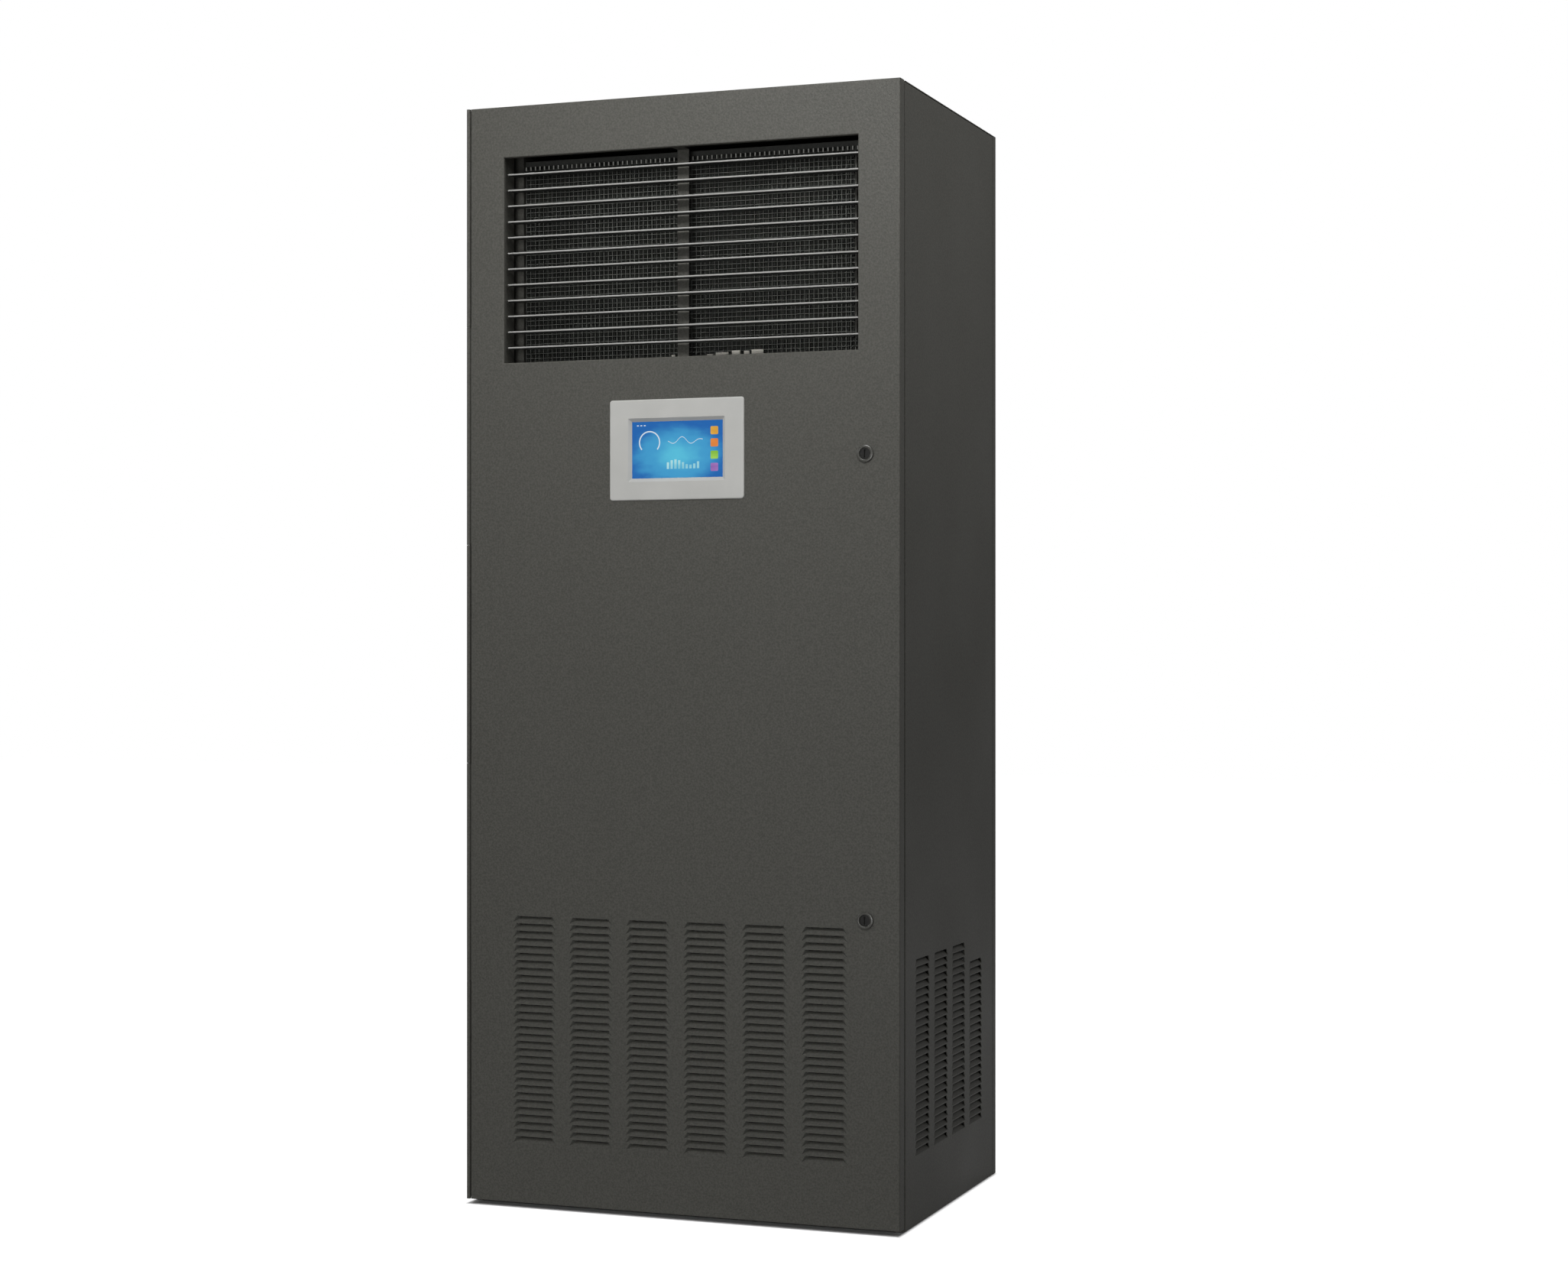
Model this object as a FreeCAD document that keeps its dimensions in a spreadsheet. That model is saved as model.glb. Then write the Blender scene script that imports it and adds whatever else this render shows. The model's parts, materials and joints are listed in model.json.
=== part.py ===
import FreeCAD, Part
import math
import os

import Sketcher
from FreeCAD import Vector

# Floor-standing precision air conditioner for a data hall: a louvred cabinet with a full-height
# front door, a bank of ganged outlet blades, a finned cooling coil, a plug fan and a compressor.
# Frame: +Z up, the door faces -Y, origin on the floor at the middle of the footprint.

doc = FreeCAD.newDocument("PrecisionAirConditioner")

# Driving dimensions in millimetres (counts are plain numbers).
SIZES = (
    ("cabinet_width", 750, "overall width"),
    ("cabinet_depth", 550, "overall depth over lock rings and rear screw heads"),
    ("cabinet_height", 1800, "overall height"),
    ("sheet", 1.5, "panel sheet thickness"),
    ("fold_radius", 0.7, "inside radius of the folds in the sheet"),
    ("fit_gap", 0.3, "assembly clearance between bolted pieces"),
    ("run_gap", 0.06, "radial clearance of turning pieces"),
    ("door_depth", 22, "depth of the door pan"),
    ("door_floor_gap", 6.5, "door bottom above the floor"),
    ("door_flange", 16, "inner flange of the door pan"),
    ("seal_gap", 5, "gap from the door back to the cabinet front"),
    ("gasket_width", 12, "width of the door gasket"),
    ("gasket_inset", 5, "gasket in from the door edge"),
    ("stiffener_width", 30, "width of a door stiffener"),
    ("stiffener_depth", 14, "depth of a door stiffener"),
    ("stiffener_inset", 50, "door stiffener end in from the door edge"),
    ("stiffener_low_z", 560, "lower door stiffener height"),
    ("stiffener_high_z", 1080, "upper door stiffener height"),
    ("hinge_radius", 3.5, "outer radius of the hinge knuckles"),
    ("hinge_pin_radius", 1.5, "radius of the hinge pin"),
    ("hinge_leaf", 1.5, "thickness of the hinge leaves"),
    ("hinge_knuckles", 5, "number of hinge knuckles"),
    ("knuckle_gap", 0.6, "end gap between knuckles"),
    ("panel_return", 16, "depth of the side panel pans"),
    ("panel_floor_gap", 1, "side and rear panels above the floor"),
    ("panel_gap", 0.4, "gap between side and rear panels"),
    ("rear_depth", 19, "depth of the rear panel pan"),
    ("screw_head", 3, "height of the rear screw heads"),
    ("screw_radius", 6, "corner radius of the rear screw heads"),
    ("screw_inset", 25, "rear screws in from the panel edge"),
    ("screw_rows", 5, "rear screws on each side"),
    ("base_height", 60, "height of the base tray"),
    ("base_wall", 3, "wall and floor of the base tray"),
    ("anchor_radius", 6.5, "floor anchor hole radius"),
    ("anchor_spacing_x", 600, "floor anchor spacing across"),
    ("anchor_spacing_y", 380, "floor anchor spacing front to back"),
    ("post_size", 30, "corner post side"),
    ("post_wall", 2, "corner post wall"),
    ("post_setback", 12, "post face behind the cabinet front"),
    ("top_flange", 20, "depth of the top panel flange"),
    ("outlet_width", 612, "outlet opening width"),
    ("outlet_height", 336, "outlet opening height"),
    ("outlet_centre_z", 1548, "outlet opening centre"),
    ("outlet_lip", 9, "depth of the folded lip round the outlet"),
    ("blade_count", 12, "number of outlet blades"),
    ("blade_depth", 24, "front to back depth of a blade"),
    ("blade_thickness", 1.6, "blade sheet thickness"),
    ("blade_nose", 2.8, "height of the rolled front edge of a blade"),
    ("blade_nose_length", 4, "length of the rolled front edge of a blade"),
    ("blade_setback", 12, "blade front edge behind the door face"),
    ("blade_end_gap", 1.5, "blade end to the opening edge"),
    ("tang_width", 3.2, "width of the pivot tangs"),
    ("bearer_thickness", 2, "blade bearer sheet"),
    ("bearer_flange", 14, "blade bearer flange"),
    ("bearer_margin", 6, "bearer beyond the blades, behind and at the ends"),
    ("mullion_width", 20, "width of the bar behind the blades"),
    ("mullion_thickness", 2, "thickness of the bar behind the blades"),
    ("mullion_gap", 4, "gap from the blades to the bar"),
    ("mullion_x", -5, "place of the bar across the opening"),
    ("mullion_foot", 14, "foot of the bar above and below the opening"),
    ("crank_radius", 18, "crank pin behind the blade pivot"),
    ("crank_side", 2.6, "side of the square crank pin"),
    ("tie_inset", 16, "tie bar in from the right blade end"),
    ("tie_width", 9, "tie bar width"),
    ("tie_thickness", 3, "tie bar thickness"),
    ("tie_gap", 0.4, "tie bar to the blade tab"),
    ("display_centre_z", 1231.5, "display centre height"),
    ("bezel_width", 232, "display bezel width"),
    ("bezel_height", 162, "display bezel height"),
    ("bezel_proud", 2.6, "bezel in front of the door"),
    ("bezel_corner", 5, "bezel corner radius"),
    ("bezel_bevel", 1.6, "bevel round the bezel face"),
    ("screen_width", 156.8, "visible screen width"),
    ("screen_height", 91, "visible screen height"),
    ("screen_recess", 5, "screen behind the bezel face"),
    ("window_slope", 5, "width of the sloping border round the screen"),
    ("screen_thickness", 3, "screen module thickness"),
    ("screen_border", 4, "screen edge hidden behind the bezel"),
    ("controller_width", 200, "controller box width"),
    ("controller_height", 130, "controller box height"),
    ("controller_depth", 36, "controller box depth"),
    ("lock_x", 318, "lock centre across"),
    ("upper_lock_z", 1217, "upper lock height"),
    ("lower_lock_z", 488.5, "lower lock height"),
    ("lock_radius", 14, "lock ring radius"),
    ("lock_bevel", 1, "bevel round the lock ring"),
    ("lock_barrel_radius", 11.5, "lock barrel radius in the door"),
    ("lock_core_radius", 9, "turning core radius"),
    ("lock_proud", 3, "lock ring in front of the door"),
    ("lock_recess", 1.4, "core face behind the ring face"),
    ("lock_slot_width", 2.6, "key slot width"),
    ("lock_slot_length", 13, "key slot length"),
    ("lock_barrel_length", 21, "barrel behind the door face"),
    ("cam_length", 46, "cam reach from the lock axis"),
    ("cam_width", 14, "cam width"),
    ("cam_thickness", 3, "cam thickness"),
    ("louvre_rows", 31, "louvres in a door column"),
    ("louvre_columns", 6, "louvre columns in the door"),
    ("louvre_width", 76, "louvre width at its fold"),
    ("louvre_cut", 10, "height of the louvre cut"),
    ("louvre_corner", 6, "sloping end of the louvre cut"),
    ("louvre_lean", 6, "free edge of a louvre behind the sheet"),
    ("louvre_pitch", 12, "louvre spacing up the column"),
    ("louvre_column_pitch", 100.3, "louvre column spacing"),
    ("louvre_top_z", 475, "top of the door louvres"),
    ("side_louvre_rows", 26, "louvres in a side column"),
    ("side_louvre_columns", 4, "louvre columns in the right panel"),
    ("side_louvre_short", 3, "louvres left out of the rear column"),
    ("side_louvre_top_z", 421, "top of the side louvres"),
    ("side_louvre_centre_y", -5, "middle of the side louvres"),
    ("deck_z", 900, "underside of the fan deck"),
    ("deck_thickness", 2, "fan deck sheet"),
    ("fan_x", -100, "fan axis across"),
    ("fan_y", 40, "fan axis front to back"),
    ("inlet_radius", 126, "inlet ring throat radius"),
    ("inlet_mouth", 150, "inlet ring mouth radius"),
    ("inlet_rise", 44, "inlet ring height"),
    ("inlet_flange", 24, "inlet ring flange width"),
    ("inlet_wall", 2, "inlet ring wall"),
    ("impeller_radius", 200, "impeller radius"),
    ("impeller_eye", 133, "impeller eye radius"),
    ("impeller_plate", 2.5, "impeller plate thickness"),
    ("impeller_width", 96, "impeller blade height"),
    ("impeller_blades", 7, "impeller blade count"),
    ("impeller_blade_thickness", 2.5, "impeller blade thickness"),
    ("impeller_blade_offset", 115, "impeller blade face from the fan axis"),
    ("impeller_blade_inset", 3, "impeller blade tip in from the rim"),
    ("impeller_lift", 38, "impeller shroud above the fan deck"),
    ("hub_radius", 28, "impeller hub radius"),
    ("hub_length", 30, "impeller hub length"),
    ("shaft_radius", 9, "fan shaft radius"),
    ("motor_radius", 68, "fan motor radius"),
    ("motor_height", 96, "fan motor height"),
    ("motor_gap", 14, "motor above the impeller back plate"),
    ("motor_bevel", 12, "bevel of the motor ends"),
    ("motor_bore", 30, "shaft length inside the motor"),
    ("bracket_bar", 36, "width of the motor bracket"),
    ("bracket_thickness", 5, "thickness of the motor bracket"),
    ("bracket_reach", 219, "inside of a motor bracket leg from the fan axis"),
    ("bracket_foot", 20, "motor bracket foot"),
    ("coil_width", 600, "finned width of the coil"),
    ("coil_height", 350, "finned height of the coil"),
    ("coil_depth", 80, "depth of the coil"),
    ("fin_pitch", 10, "spacing of the fin packs"),
    ("fin_slot", 4, "slot between fin packs"),
    ("fin_slot_depth", 12, "depth of the slots in the coil face"),
    ("coil_setback", 46, "coil face behind the cabinet front"),
    ("coil_plate", 2, "coil end plate thickness"),
    ("coil_plate_margin", 10, "end plate beyond the fins"),
    ("coil_lift", 8, "fins above the drain pan floor"),
    ("bend_radius", 9.5, "return bend centre radius"),
    ("bend_tube", 4, "return bend tube radius"),
    ("bend_sides", 8, "flats round a return bend"),
    ("bend_count", 5, "number of return bends"),
    ("bend_pitch", 66, "return bend spacing"),
    ("pan_height", 24, "drain pan height"),
    ("pan_floor_z", 1362, "drain pan floor level"),
    ("pan_margin", 16, "drain pan in front of and behind the coil set"),
    ("rod_radius", 6, "reheat rod radius"),
    ("rod_count", 3, "number of reheat rods"),
    ("rod_pitch", 100, "reheat rod spacing"),
    ("rod_setback", 26, "reheat rods behind the coil"),
    ("drain_radius", 11, "condensate pipe radius"),
    ("drain_wall", 2, "condensate pipe wall"),
    ("drain_x", -290, "condensate pipe across"),
    ("box_width", 200, "electrical box width"),
    ("box_height", 380, "electrical box height"),
    ("box_depth", 120, "electrical box depth"),
    ("box_lift", 24, "electrical box above the fan deck"),
    ("box_setback", 22, "electrical box cover behind the cabinet front"),
    ("contactor_width", 45, "contactor width"),
    ("contactor_height", 80, "contactor height"),
    ("contactor_depth", 84, "contactor depth"),
    ("contactor_step", 22, "terminal step at the top and bottom of a contactor"),
    ("contactor_inset", 20, "first contactor in from the box side"),
    ("contactor_lift", 150, "contactors above the box floor"),
    ("contactor_count", 3, "number of contactors"),
    ("contactor_pitch", 52, "contactor spacing"),
    ("switch_knob_radius", 16, "main switch knob radius"),
    ("switch_knob_depth", 12, "main switch knob depth"),
    ("switch_grip_width", 8, "main switch grip width"),
    ("switch_grip_depth", 6, "main switch grip height on the knob"),
    ("switch_gap", 0.6, "main switch knob to the cover"),
    ("switch_shaft_length", 30, "main switch shaft behind the cover"),
    ("switch_drop", 90, "main switch below the box top"),
    ("switch_shaft_radius", 4, "main switch shaft radius"),
    ("compressor_radius", 84, "compressor shell radius"),
    ("compressor_height", 372, "compressor height above its feet"),
    ("compressor_x", 150, "compressor axis across"),
    ("compressor_y", 80, "compressor axis front to back"),
    ("compressor_dome", 36, "height of the shell domes"),
    ("compressor_cap", 46, "flat radius on the shell top"),
    ("foot_plate", 190, "compressor foot plate side"),
    ("foot_plate_thickness", 5, "compressor foot plate thickness"),
    ("mount_radius", 16, "rubber mount radius"),
    ("mount_height", 22, "rubber mount height"),
    ("mount_inset", 18, "rubber mount in from the plate edge"),
    ("suction_radius", 11, "suction pipe radius"),
    ("gas_radius", 8, "hot gas pipe radius"),
    ("liquid_radius", 6, "liquid pipe radius"),
    ("pipe_bend", 34, "pipe bend centre radius"),
    ("pipe_sides", 12, "flats round a pipe"),
    ("pipe_offset", 24, "pipe joints off the compressor axis"),
    ("suction_rise", 84, "suction pipe above the compressor"),
    ("gas_rise", 150, "hot gas pipe above the compressor"),
    ("suction_joint_z", 1495, "suction joint on the coil"),
    ("liquid_x", 262, "liquid pipe across"),
    ("liquid_stub_z", 440, "liquid stub height"),
    ("liquid_joint_z", 1595, "liquid joint on the coil"),
    ("riser_setback", 26, "pipe risers in front of the rear panel"),
    ("pipe_hole_gap", 4, "hole round a pipe stub"),
    ("tank_radius", 58, "humidifier cylinder radius"),
    ("tank_height", 330, "humidifier cylinder height"),
    ("tank_x", -290, "humidifier across"),
    ("tank_y", 100, "humidifier front to back"),
    ("tank_shoulder", 18, "humidifier shoulder bevel"),
    ("tank_neck_radius", 18, "humidifier steam neck radius"),
    ("tank_neck", 26, "humidifier steam neck height"),
    ("filter_height", 410, "air filter height"),
    ("filter_depth", 22, "air filter depth"),
    ("filter_floor_gap", 24, "air filter above the base tray rim"),
    ("filter_rim", 18, "air filter frame width"),
    ("filter_pleats", 22, "pleats in the filter media"),
    ("filter_pleat_depth", 9, "depth of a filter pleat"),
    ("rail_height", 470, "filter rail height"),
    ("rail_sheet", 1.5, "filter rail sheet"),
    ("rail_lip", 14, "filter rail lip over the filter"),
    ("grommet_bore", 14, "cable grommet bore radius"),
    ("grommet_wall", 6, "cable grommet wall"),
    ("grommet_height", 6, "cable grommet above the tray floor"),
    ("grommet_x", 280, "cable grommet across"),
    ("grommet_y", -60, "cable grommet front to back"),
)

sheet = doc.addObject("Spreadsheet::Sheet", "Size")
for row, (alias, value, note) in enumerate(SIZES, 1):
    sheet.set(f"A{row}", note)
    sheet.set(f"B{row}", str(value))
    sheet.setAlias(f"B{row}", alias)
doc.recompute()


def size(alias):
    """Value of one driving dimension, read from the sheet."""
    return float(sheet.get(alias))


# Planes and lines that several pieces share, written once as formulas of the driving dimensions.
FRONT = "(-Size.cabinet_depth / 2 + Size.lock_proud)"
DOOR_SKIN_BACK = f"({FRONT} + Size.sheet)"
DOOR_BACK = f"({FRONT} + Size.door_depth)"
CABINET_FRONT = f"({DOOR_BACK} + Size.seal_gap)"
REAR = "(Size.cabinet_depth / 2 - Size.screw_head)"
REAR_FRONT = f"({REAR} - Size.rear_depth)"
CABINET_REAR = f"({REAR_FRONT} - Size.panel_gap)"
MID_Y = f"(({CABINET_FRONT} + {CABINET_REAR}) / 2)"
SIDE = "(Size.cabinet_width / 2)"
FRAME_SIDE = f"({SIDE} - Size.panel_return - Size.fit_gap)"
POST_OUTER = f"({FRAME_SIDE} - Size.base_wall - Size.fit_gap)"
POST_INNER = f"({POST_OUTER} - Size.post_size)"
POST_FRONT = f"({CABINET_FRONT} + Size.post_setback)"
POST_REAR = f"({CABINET_REAR} - Size.post_setback)"
TOP_UNDER = "(Size.cabinet_height - Size.sheet)"
HINGE_X = f"(-{SIDE} + Size.hinge_radius)"
HINGE_Y = f"({FRONT} + Size.hinge_radius)"
DOOR_LEFT = f"(-{SIDE} + 2 * Size.hinge_radius + Size.hinge_leaf)"
OUTLET_HALF = "(Size.outlet_width / 2)"
OUTLET_LOW = "(Size.outlet_centre_z - Size.outlet_height / 2)"
OUTLET_HIGH = "(Size.outlet_centre_z + Size.outlet_height / 2)"
BLADE_PITCH = "(Size.outlet_height / (Size.blade_count + 1))"
BLADE_Y = f"({FRONT} + Size.blade_setback + Size.blade_depth / 2)"
BLADE_BACK = f"({FRONT} + Size.blade_setback + Size.blade_depth)"
BLADE_HALF = f"({OUTLET_HALF} - Size.blade_end_gap)"
BEARER_X = f"({OUTLET_HALF} + Size.sheet + Size.fit_gap)"
TANG_RADIUS = "(sqrt(Size.tang_width ^ 2 + Size.blade_thickness ^ 2) / 2)"
CRANK_RADIUS = "(Size.crank_side / sqrt(2))"
TIE_X = f"({BLADE_HALF} - Size.tie_inset)"
LOUVRE_RISE = "sqrt(Size.louvre_cut ^ 2 - Size.louvre_lean ^ 2)"
CAM_Y = "(Size.door_depth + Size.seal_gap + Size.sheet + Size.fit_gap)"
DECK_REAR = f"({POST_REAR} - Size.post_size - Size.fit_gap)"
DECK_TOP = "(Size.deck_z + Size.deck_thickness)"
SHROUD_Z = f"({DECK_TOP} + Size.impeller_lift)"
BACK_PLATE_Z = f"({SHROUD_Z} + Size.impeller_plate + Size.impeller_width)"
MOTOR_Z = f"({BACK_PLATE_Z} + Size.impeller_plate + Size.motor_gap)"
COIL_FRONT = f"({CABINET_FRONT} + Size.coil_setback)"
COIL_BACK = f"({COIL_FRONT} + Size.coil_depth)"
COIL_LOW = "(Size.pan_floor_z + Size.coil_lift)"
ROD_Y = f"({COIL_BACK} + Size.rod_setback)"
PLATE_X = "(Size.coil_width / 2 + Size.fit_gap)"
PLATE_BACK = f"({ROD_Y} + Size.rod_radius + Size.coil_plate_margin)"
BOX_RIGHT = f"({POST_INNER} - Size.fit_gap)"
BOX_LEFT = f"({BOX_RIGHT} - Size.box_width)"
BOX_FRONT = f"({CABINET_FRONT} + Size.box_setback)"
BOX_LOW = f"({DECK_TOP} + Size.box_lift)"
BOX_HIGH = f"({BOX_LOW} + Size.box_height)"
SWITCH_X = f"(({BOX_LEFT} + {BOX_RIGHT}) / 2)"
SWITCH_Z = f"({BOX_HIGH} - Size.switch_drop)"
FOOT_Z = "(Size.base_wall + Size.mount_height)"
RAIL_OUTER = f"({POST_INNER} - Size.fit_gap)"
FILTER_HALF = f"({RAIL_OUTER} - Size.rail_sheet - Size.fit_gap)"
FILTER_FRONT = f"({CABINET_FRONT} + Size.sheet + Size.cam_thickness + 4 * Size.fit_gap + Size.rail_sheet)"
FILTER_BACK = f"({FILTER_FRONT} + Size.filter_depth)"
FILTER_LOW = "(Size.base_height + Size.filter_floor_gap)"

parts = []


def new_body(label):
    """A named piece built from sketched features."""
    body = doc.addObject("PartDesign::Body", label)
    body.Label = label
    body.AllowCompound = True
    parts.append(body)
    return body


def place(piece, x="0", y="0", z="0"):
    """Move a piece to a place given by formulas."""
    for axis, formula in zip("xyz", (x, y, z)):
        piece.setExpression(f".Placement.Base.{axis}", formula)


def origin_item(body, role):
    """Plane or axis of a body's own origin."""
    return next(item for item in body.Origin.OriginFeatures if item.Role == role)


def new_sketch(body, plane, at="0"):
    """A sketch on one of the body's origin planes, moved along the axis across it."""
    sketch = body.newObject("Sketcher::SketchObject", "Sketch")
    sketch.AttachmentSupport = [(origin_item(body, f"{plane}_Plane"), "")]
    sketch.MapMode = "FlatFace"
    offset = f"-({at})" if plane == "XZ" else at
    sketch.setExpression("AttachmentOffset.Base.z", offset)
    return sketch


def add_polygon(sketch, points):
    """Closed outline whose corners are formulas (u, v) of the driving dimensions."""
    first = sketch.GeometryCount
    count = len(points)
    turn = 2 * math.pi / count
    guess = [Vector(50 * math.cos(turn * i), 50 * math.sin(turn * i), 0) for i in range(count)]
    sketch.addGeometry([Part.LineSegment(guess[i], guess[(i + 1) % count]) for i in range(count)], False)
    joins = [
        Sketcher.Constraint("Coincident", first + i, 2, first + (i + 1) % count, 1) for i in range(count)
    ]
    sketch.addConstraint(joins)
    for i, point in enumerate(points):
        for kind, formula, start in zip(("DistanceX", "DistanceY"), point, (guess[i].x, guess[i].y)):
            index = sketch.addConstraint(Sketcher.Constraint(kind, -1, 1, first + i, 1, start))
            sketch.setExpression(f"Constraints[{index}]", formula)


def add_rectangle(sketch, u_low, u_high, v_low, v_high):
    """Upright rectangle between four formulas."""
    add_polygon(sketch, [(u_low, v_low), (u_high, v_low), (u_high, v_high), (u_low, v_high)])


def add_flats(sketch, u, v, radius, sides):
    """Regular outline whose flats keep the area of the circle, to save facets on a repeated round."""
    step = 360 / sides
    corner = math.sqrt(math.radians(step) / math.sin(math.radians(step)))
    add_polygon(sketch, [
        (f"{u} + {corner} * {radius} * cos({step * i})", f"{v} + {corner} * {radius} * sin({step * i})")
        for i in range(sides)
    ])


def add_circle(sketch, u, v, radius):
    """Circle whose centre and radius are formulas."""
    geometry = sketch.addGeometry(Part.Circle(Vector(10, 10, 0), Vector(0, 0, 1), 10), False)
    for kind, formula in (("DistanceX", u), ("DistanceY", v)):
        index = sketch.addConstraint(Sketcher.Constraint(kind, -1, 1, geometry, 3, 10))
        sketch.setExpression(f"Constraints[{index}]", formula)
    index = sketch.addConstraint(Sketcher.Constraint("Radius", geometry, 10))
    sketch.setExpression(f"Constraints[{index}]", radius)


def pad(body, sketch, length):
    """Material from the sketch plane along the positive axis across it."""
    feature = body.newObject("PartDesign::Pad", "Pad")
    feature.Profile = sketch
    feature.setExpression("Length", length)
    feature.Reversed = sketch.AttachmentSupport[0][0].Role == "XZ_Plane"
    return feature


def pocket(body, sketch, length):
    """Cut from the sketch plane along the positive axis across it."""
    feature = body.newObject("PartDesign::Pocket", "Pocket")
    feature.Profile = sketch
    feature.setExpression("Length", length)
    feature.Reversed = sketch.AttachmentSupport[0][0].Role != "XZ_Plane"
    return feature


def pad_rectangle(body, plane, at, length, u_low, u_high, v_low, v_high):
    """Rectangular plate or bar."""
    sketch = new_sketch(body, plane, at)
    add_rectangle(sketch, u_low, u_high, v_low, v_high)
    return pad(body, sketch, length)


def pocket_rectangle(body, plane, at, length, u_low, u_high, v_low, v_high):
    """Rectangular opening."""
    sketch = new_sketch(body, plane, at)
    add_rectangle(sketch, u_low, u_high, v_low, v_high)
    return pocket(body, sketch, length)


def pad_ring(body, plane, at, length, u_low, u_high, v_low, v_high, wall):
    """Rectangular frame whose wall lies inside the given outline."""
    sketch = new_sketch(body, plane, at)
    add_rectangle(sketch, u_low, u_high, v_low, v_high)
    add_rectangle(sketch, f"{u_low} + {wall}", f"{u_high} - {wall}",
                  f"{v_low} + {wall}", f"{v_high} - {wall}")
    return pad(body, sketch, length)


def pad_circle(body, plane, at, length, u, v, radius):
    """Round boss or disc."""
    sketch = new_sketch(body, plane, at)
    add_circle(sketch, u, v, radius)
    return pad(body, sketch, length)


def pocket_circle(body, plane, at, length, u, v, radius):
    """Round hole."""
    sketch = new_sketch(body, plane, at)
    add_circle(sketch, u, v, radius)
    return pocket(body, sketch, length)


def revolve(body, plane, points):
    """Turned piece: outline (radius, height) about the upright axis of the sketch."""
    sketch = new_sketch(body, plane)
    add_polygon(sketch, points)
    feature = body.newObject("PartDesign::Revolution", "Revolution")
    feature.Profile = sketch
    feature.ReferenceAxis = (sketch, ["V_Axis"])
    feature.Angle = 360
    return feature


def repeat(body, features, axis, spacing, count, axis2=None, spacing2="1", count2="1"):
    """Copies of features in one row, or in rows and columns."""
    doc.recompute()
    pattern = body.newObject("PartDesign::LinearPattern", "LinearPattern")
    pattern.Originals = features
    pattern.Direction = (origin_item(body, f"{axis}_Axis"), [""])
    pattern.setExpression("Length", f"({spacing}) * ({count} - 1)")
    pattern.setExpression("Occurrences", count)
    if axis2:
        pattern.Direction2 = (origin_item(body, f"{axis2}_Axis"), [""])
        pattern.setExpression("Length2", f"({spacing2}) * ({count2} - 1)")
        pattern.setExpression("Occurrences2", count2)
    body.Tip = pattern
    return pattern


def repeat_round(body, features, count):
    """Copies of features turned evenly about the body's upright axis."""
    doc.recompute()
    pattern = body.newObject("PartDesign::PolarPattern", "PolarPattern")
    pattern.Originals = features
    pattern.Axis = (origin_item(body, "Z_Axis"), [""])
    pattern.Angle = 360
    pattern.setExpression("Occurrences", count)
    body.Tip = pattern
    return pattern


def edges_where(feature, test):
    """Names of the feature's edges that pass a test."""
    return [f"Edge{i}" for i, edge in enumerate(feature.Shape.Edges, 1) if test(edge)]


def lies_in(axis, level, reach_x=math.inf):
    """Test for edges in the plane at a level along an axis, and no further across than the reach."""
    return lambda edge: all(
        abs(getattr(vertex.Point, axis) - level) < 0.001 and abs(vertex.Point.x) < reach_x
        for vertex in edge.Vertexes
    )


def round_edges(body, feature, test, radius):
    """Round the feature's edges that pass a test."""
    rounding = body.newObject("PartDesign::Fillet", "Rounding")
    rounding.Base = (feature, edges_where(feature, test))
    rounding.setExpression("Radius", radius)
    doc.recompute()
    return rounding


def pan(body, plane, at, depth, u_low, u_high, v_low, v_high, open_low):
    """Folded sheet pan: skin with four returns and rounded folds, open towards the low or the high side."""
    block = pad_rectangle(body, plane, at, depth, u_low, u_high, v_low, v_high)
    doc.recompute()
    axis = {"XY": "z", "XZ": "y", "YZ": "x"}[plane]
    levels = [getattr(vertex.Point, axis) for vertex in block.Shape.Vertexes]
    outside = max(levels) if open_low else min(levels)
    inside = outside - size("sheet") if open_low else outside + size("sheet")
    round_edges(body, block, lies_in(axis, outside), "Size.fold_radius + Size.sheet")
    start = at if open_low else f"{at} + Size.sheet"
    hollow = pocket_rectangle(body, plane, start, f"{depth} - Size.sheet", f"{u_low} + Size.sheet",
                              f"{u_high} - Size.sheet", f"{v_low} + Size.sheet", f"{v_high} - Size.sheet")
    doc.recompute()
    round_edges(body, hollow, lies_in(axis, inside), "Size.fold_radius")


def louvre(body, plane, outer, inward, u_fold, v_fold):
    """One pressed louvre: a tapered cut in the sheet and its flap, folded inward at the lower edge.

    The flap keeps the length of the cut, so its free edge sits lower than the cut's upper edge and
    leaves the air slot. Outer is the coordinate of the outside face, inward is +1 or -1 along the
    axis across the sheet, and the fold starts at (u_fold, v_fold).
    """
    u_end = f"{u_fold} + Size.louvre_width"
    cut_low = outer if inward > 0 else f"{outer} - Size.sheet"
    sketch = new_sketch(body, plane, cut_low)
    add_polygon(sketch, [
        (u_fold, v_fold),
        (u_end, v_fold),
        (f"{u_end} - Size.louvre_corner", f"{v_fold} + Size.louvre_cut"),
        (f"{u_fold} + Size.louvre_corner", f"{v_fold} + Size.louvre_cut"),
    ])
    cut = pocket(body, sketch, "Size.sheet")
    near = new_sketch(body, "XY", v_fold)
    far = new_sketch(body, "XY", f"{v_fold} + {LOUVRE_RISE}")
    sign = "+" if inward > 0 else "-"
    rise = f"{outer} {sign} Size.louvre_lean"
    ends = (
        (near, u_fold, u_end, outer, f"{outer} {sign} Size.sheet"),
        (far, f"{u_fold} + Size.louvre_corner", f"{u_end} - Size.louvre_corner",
         rise, f"{rise} {sign} Size.sheet"),
    )
    for section, low, high, front, back in ends:
        across = (low, high, front, back) if plane == "XZ" else (front, back, low, high)
        add_rectangle(section, *across)
    flap = body.newObject("PartDesign::AdditiveLoft", "Flap")
    flap.Profile = near
    flap.Sections = [far]
    flap.Ruled = True
    return [cut, flap]


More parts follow.
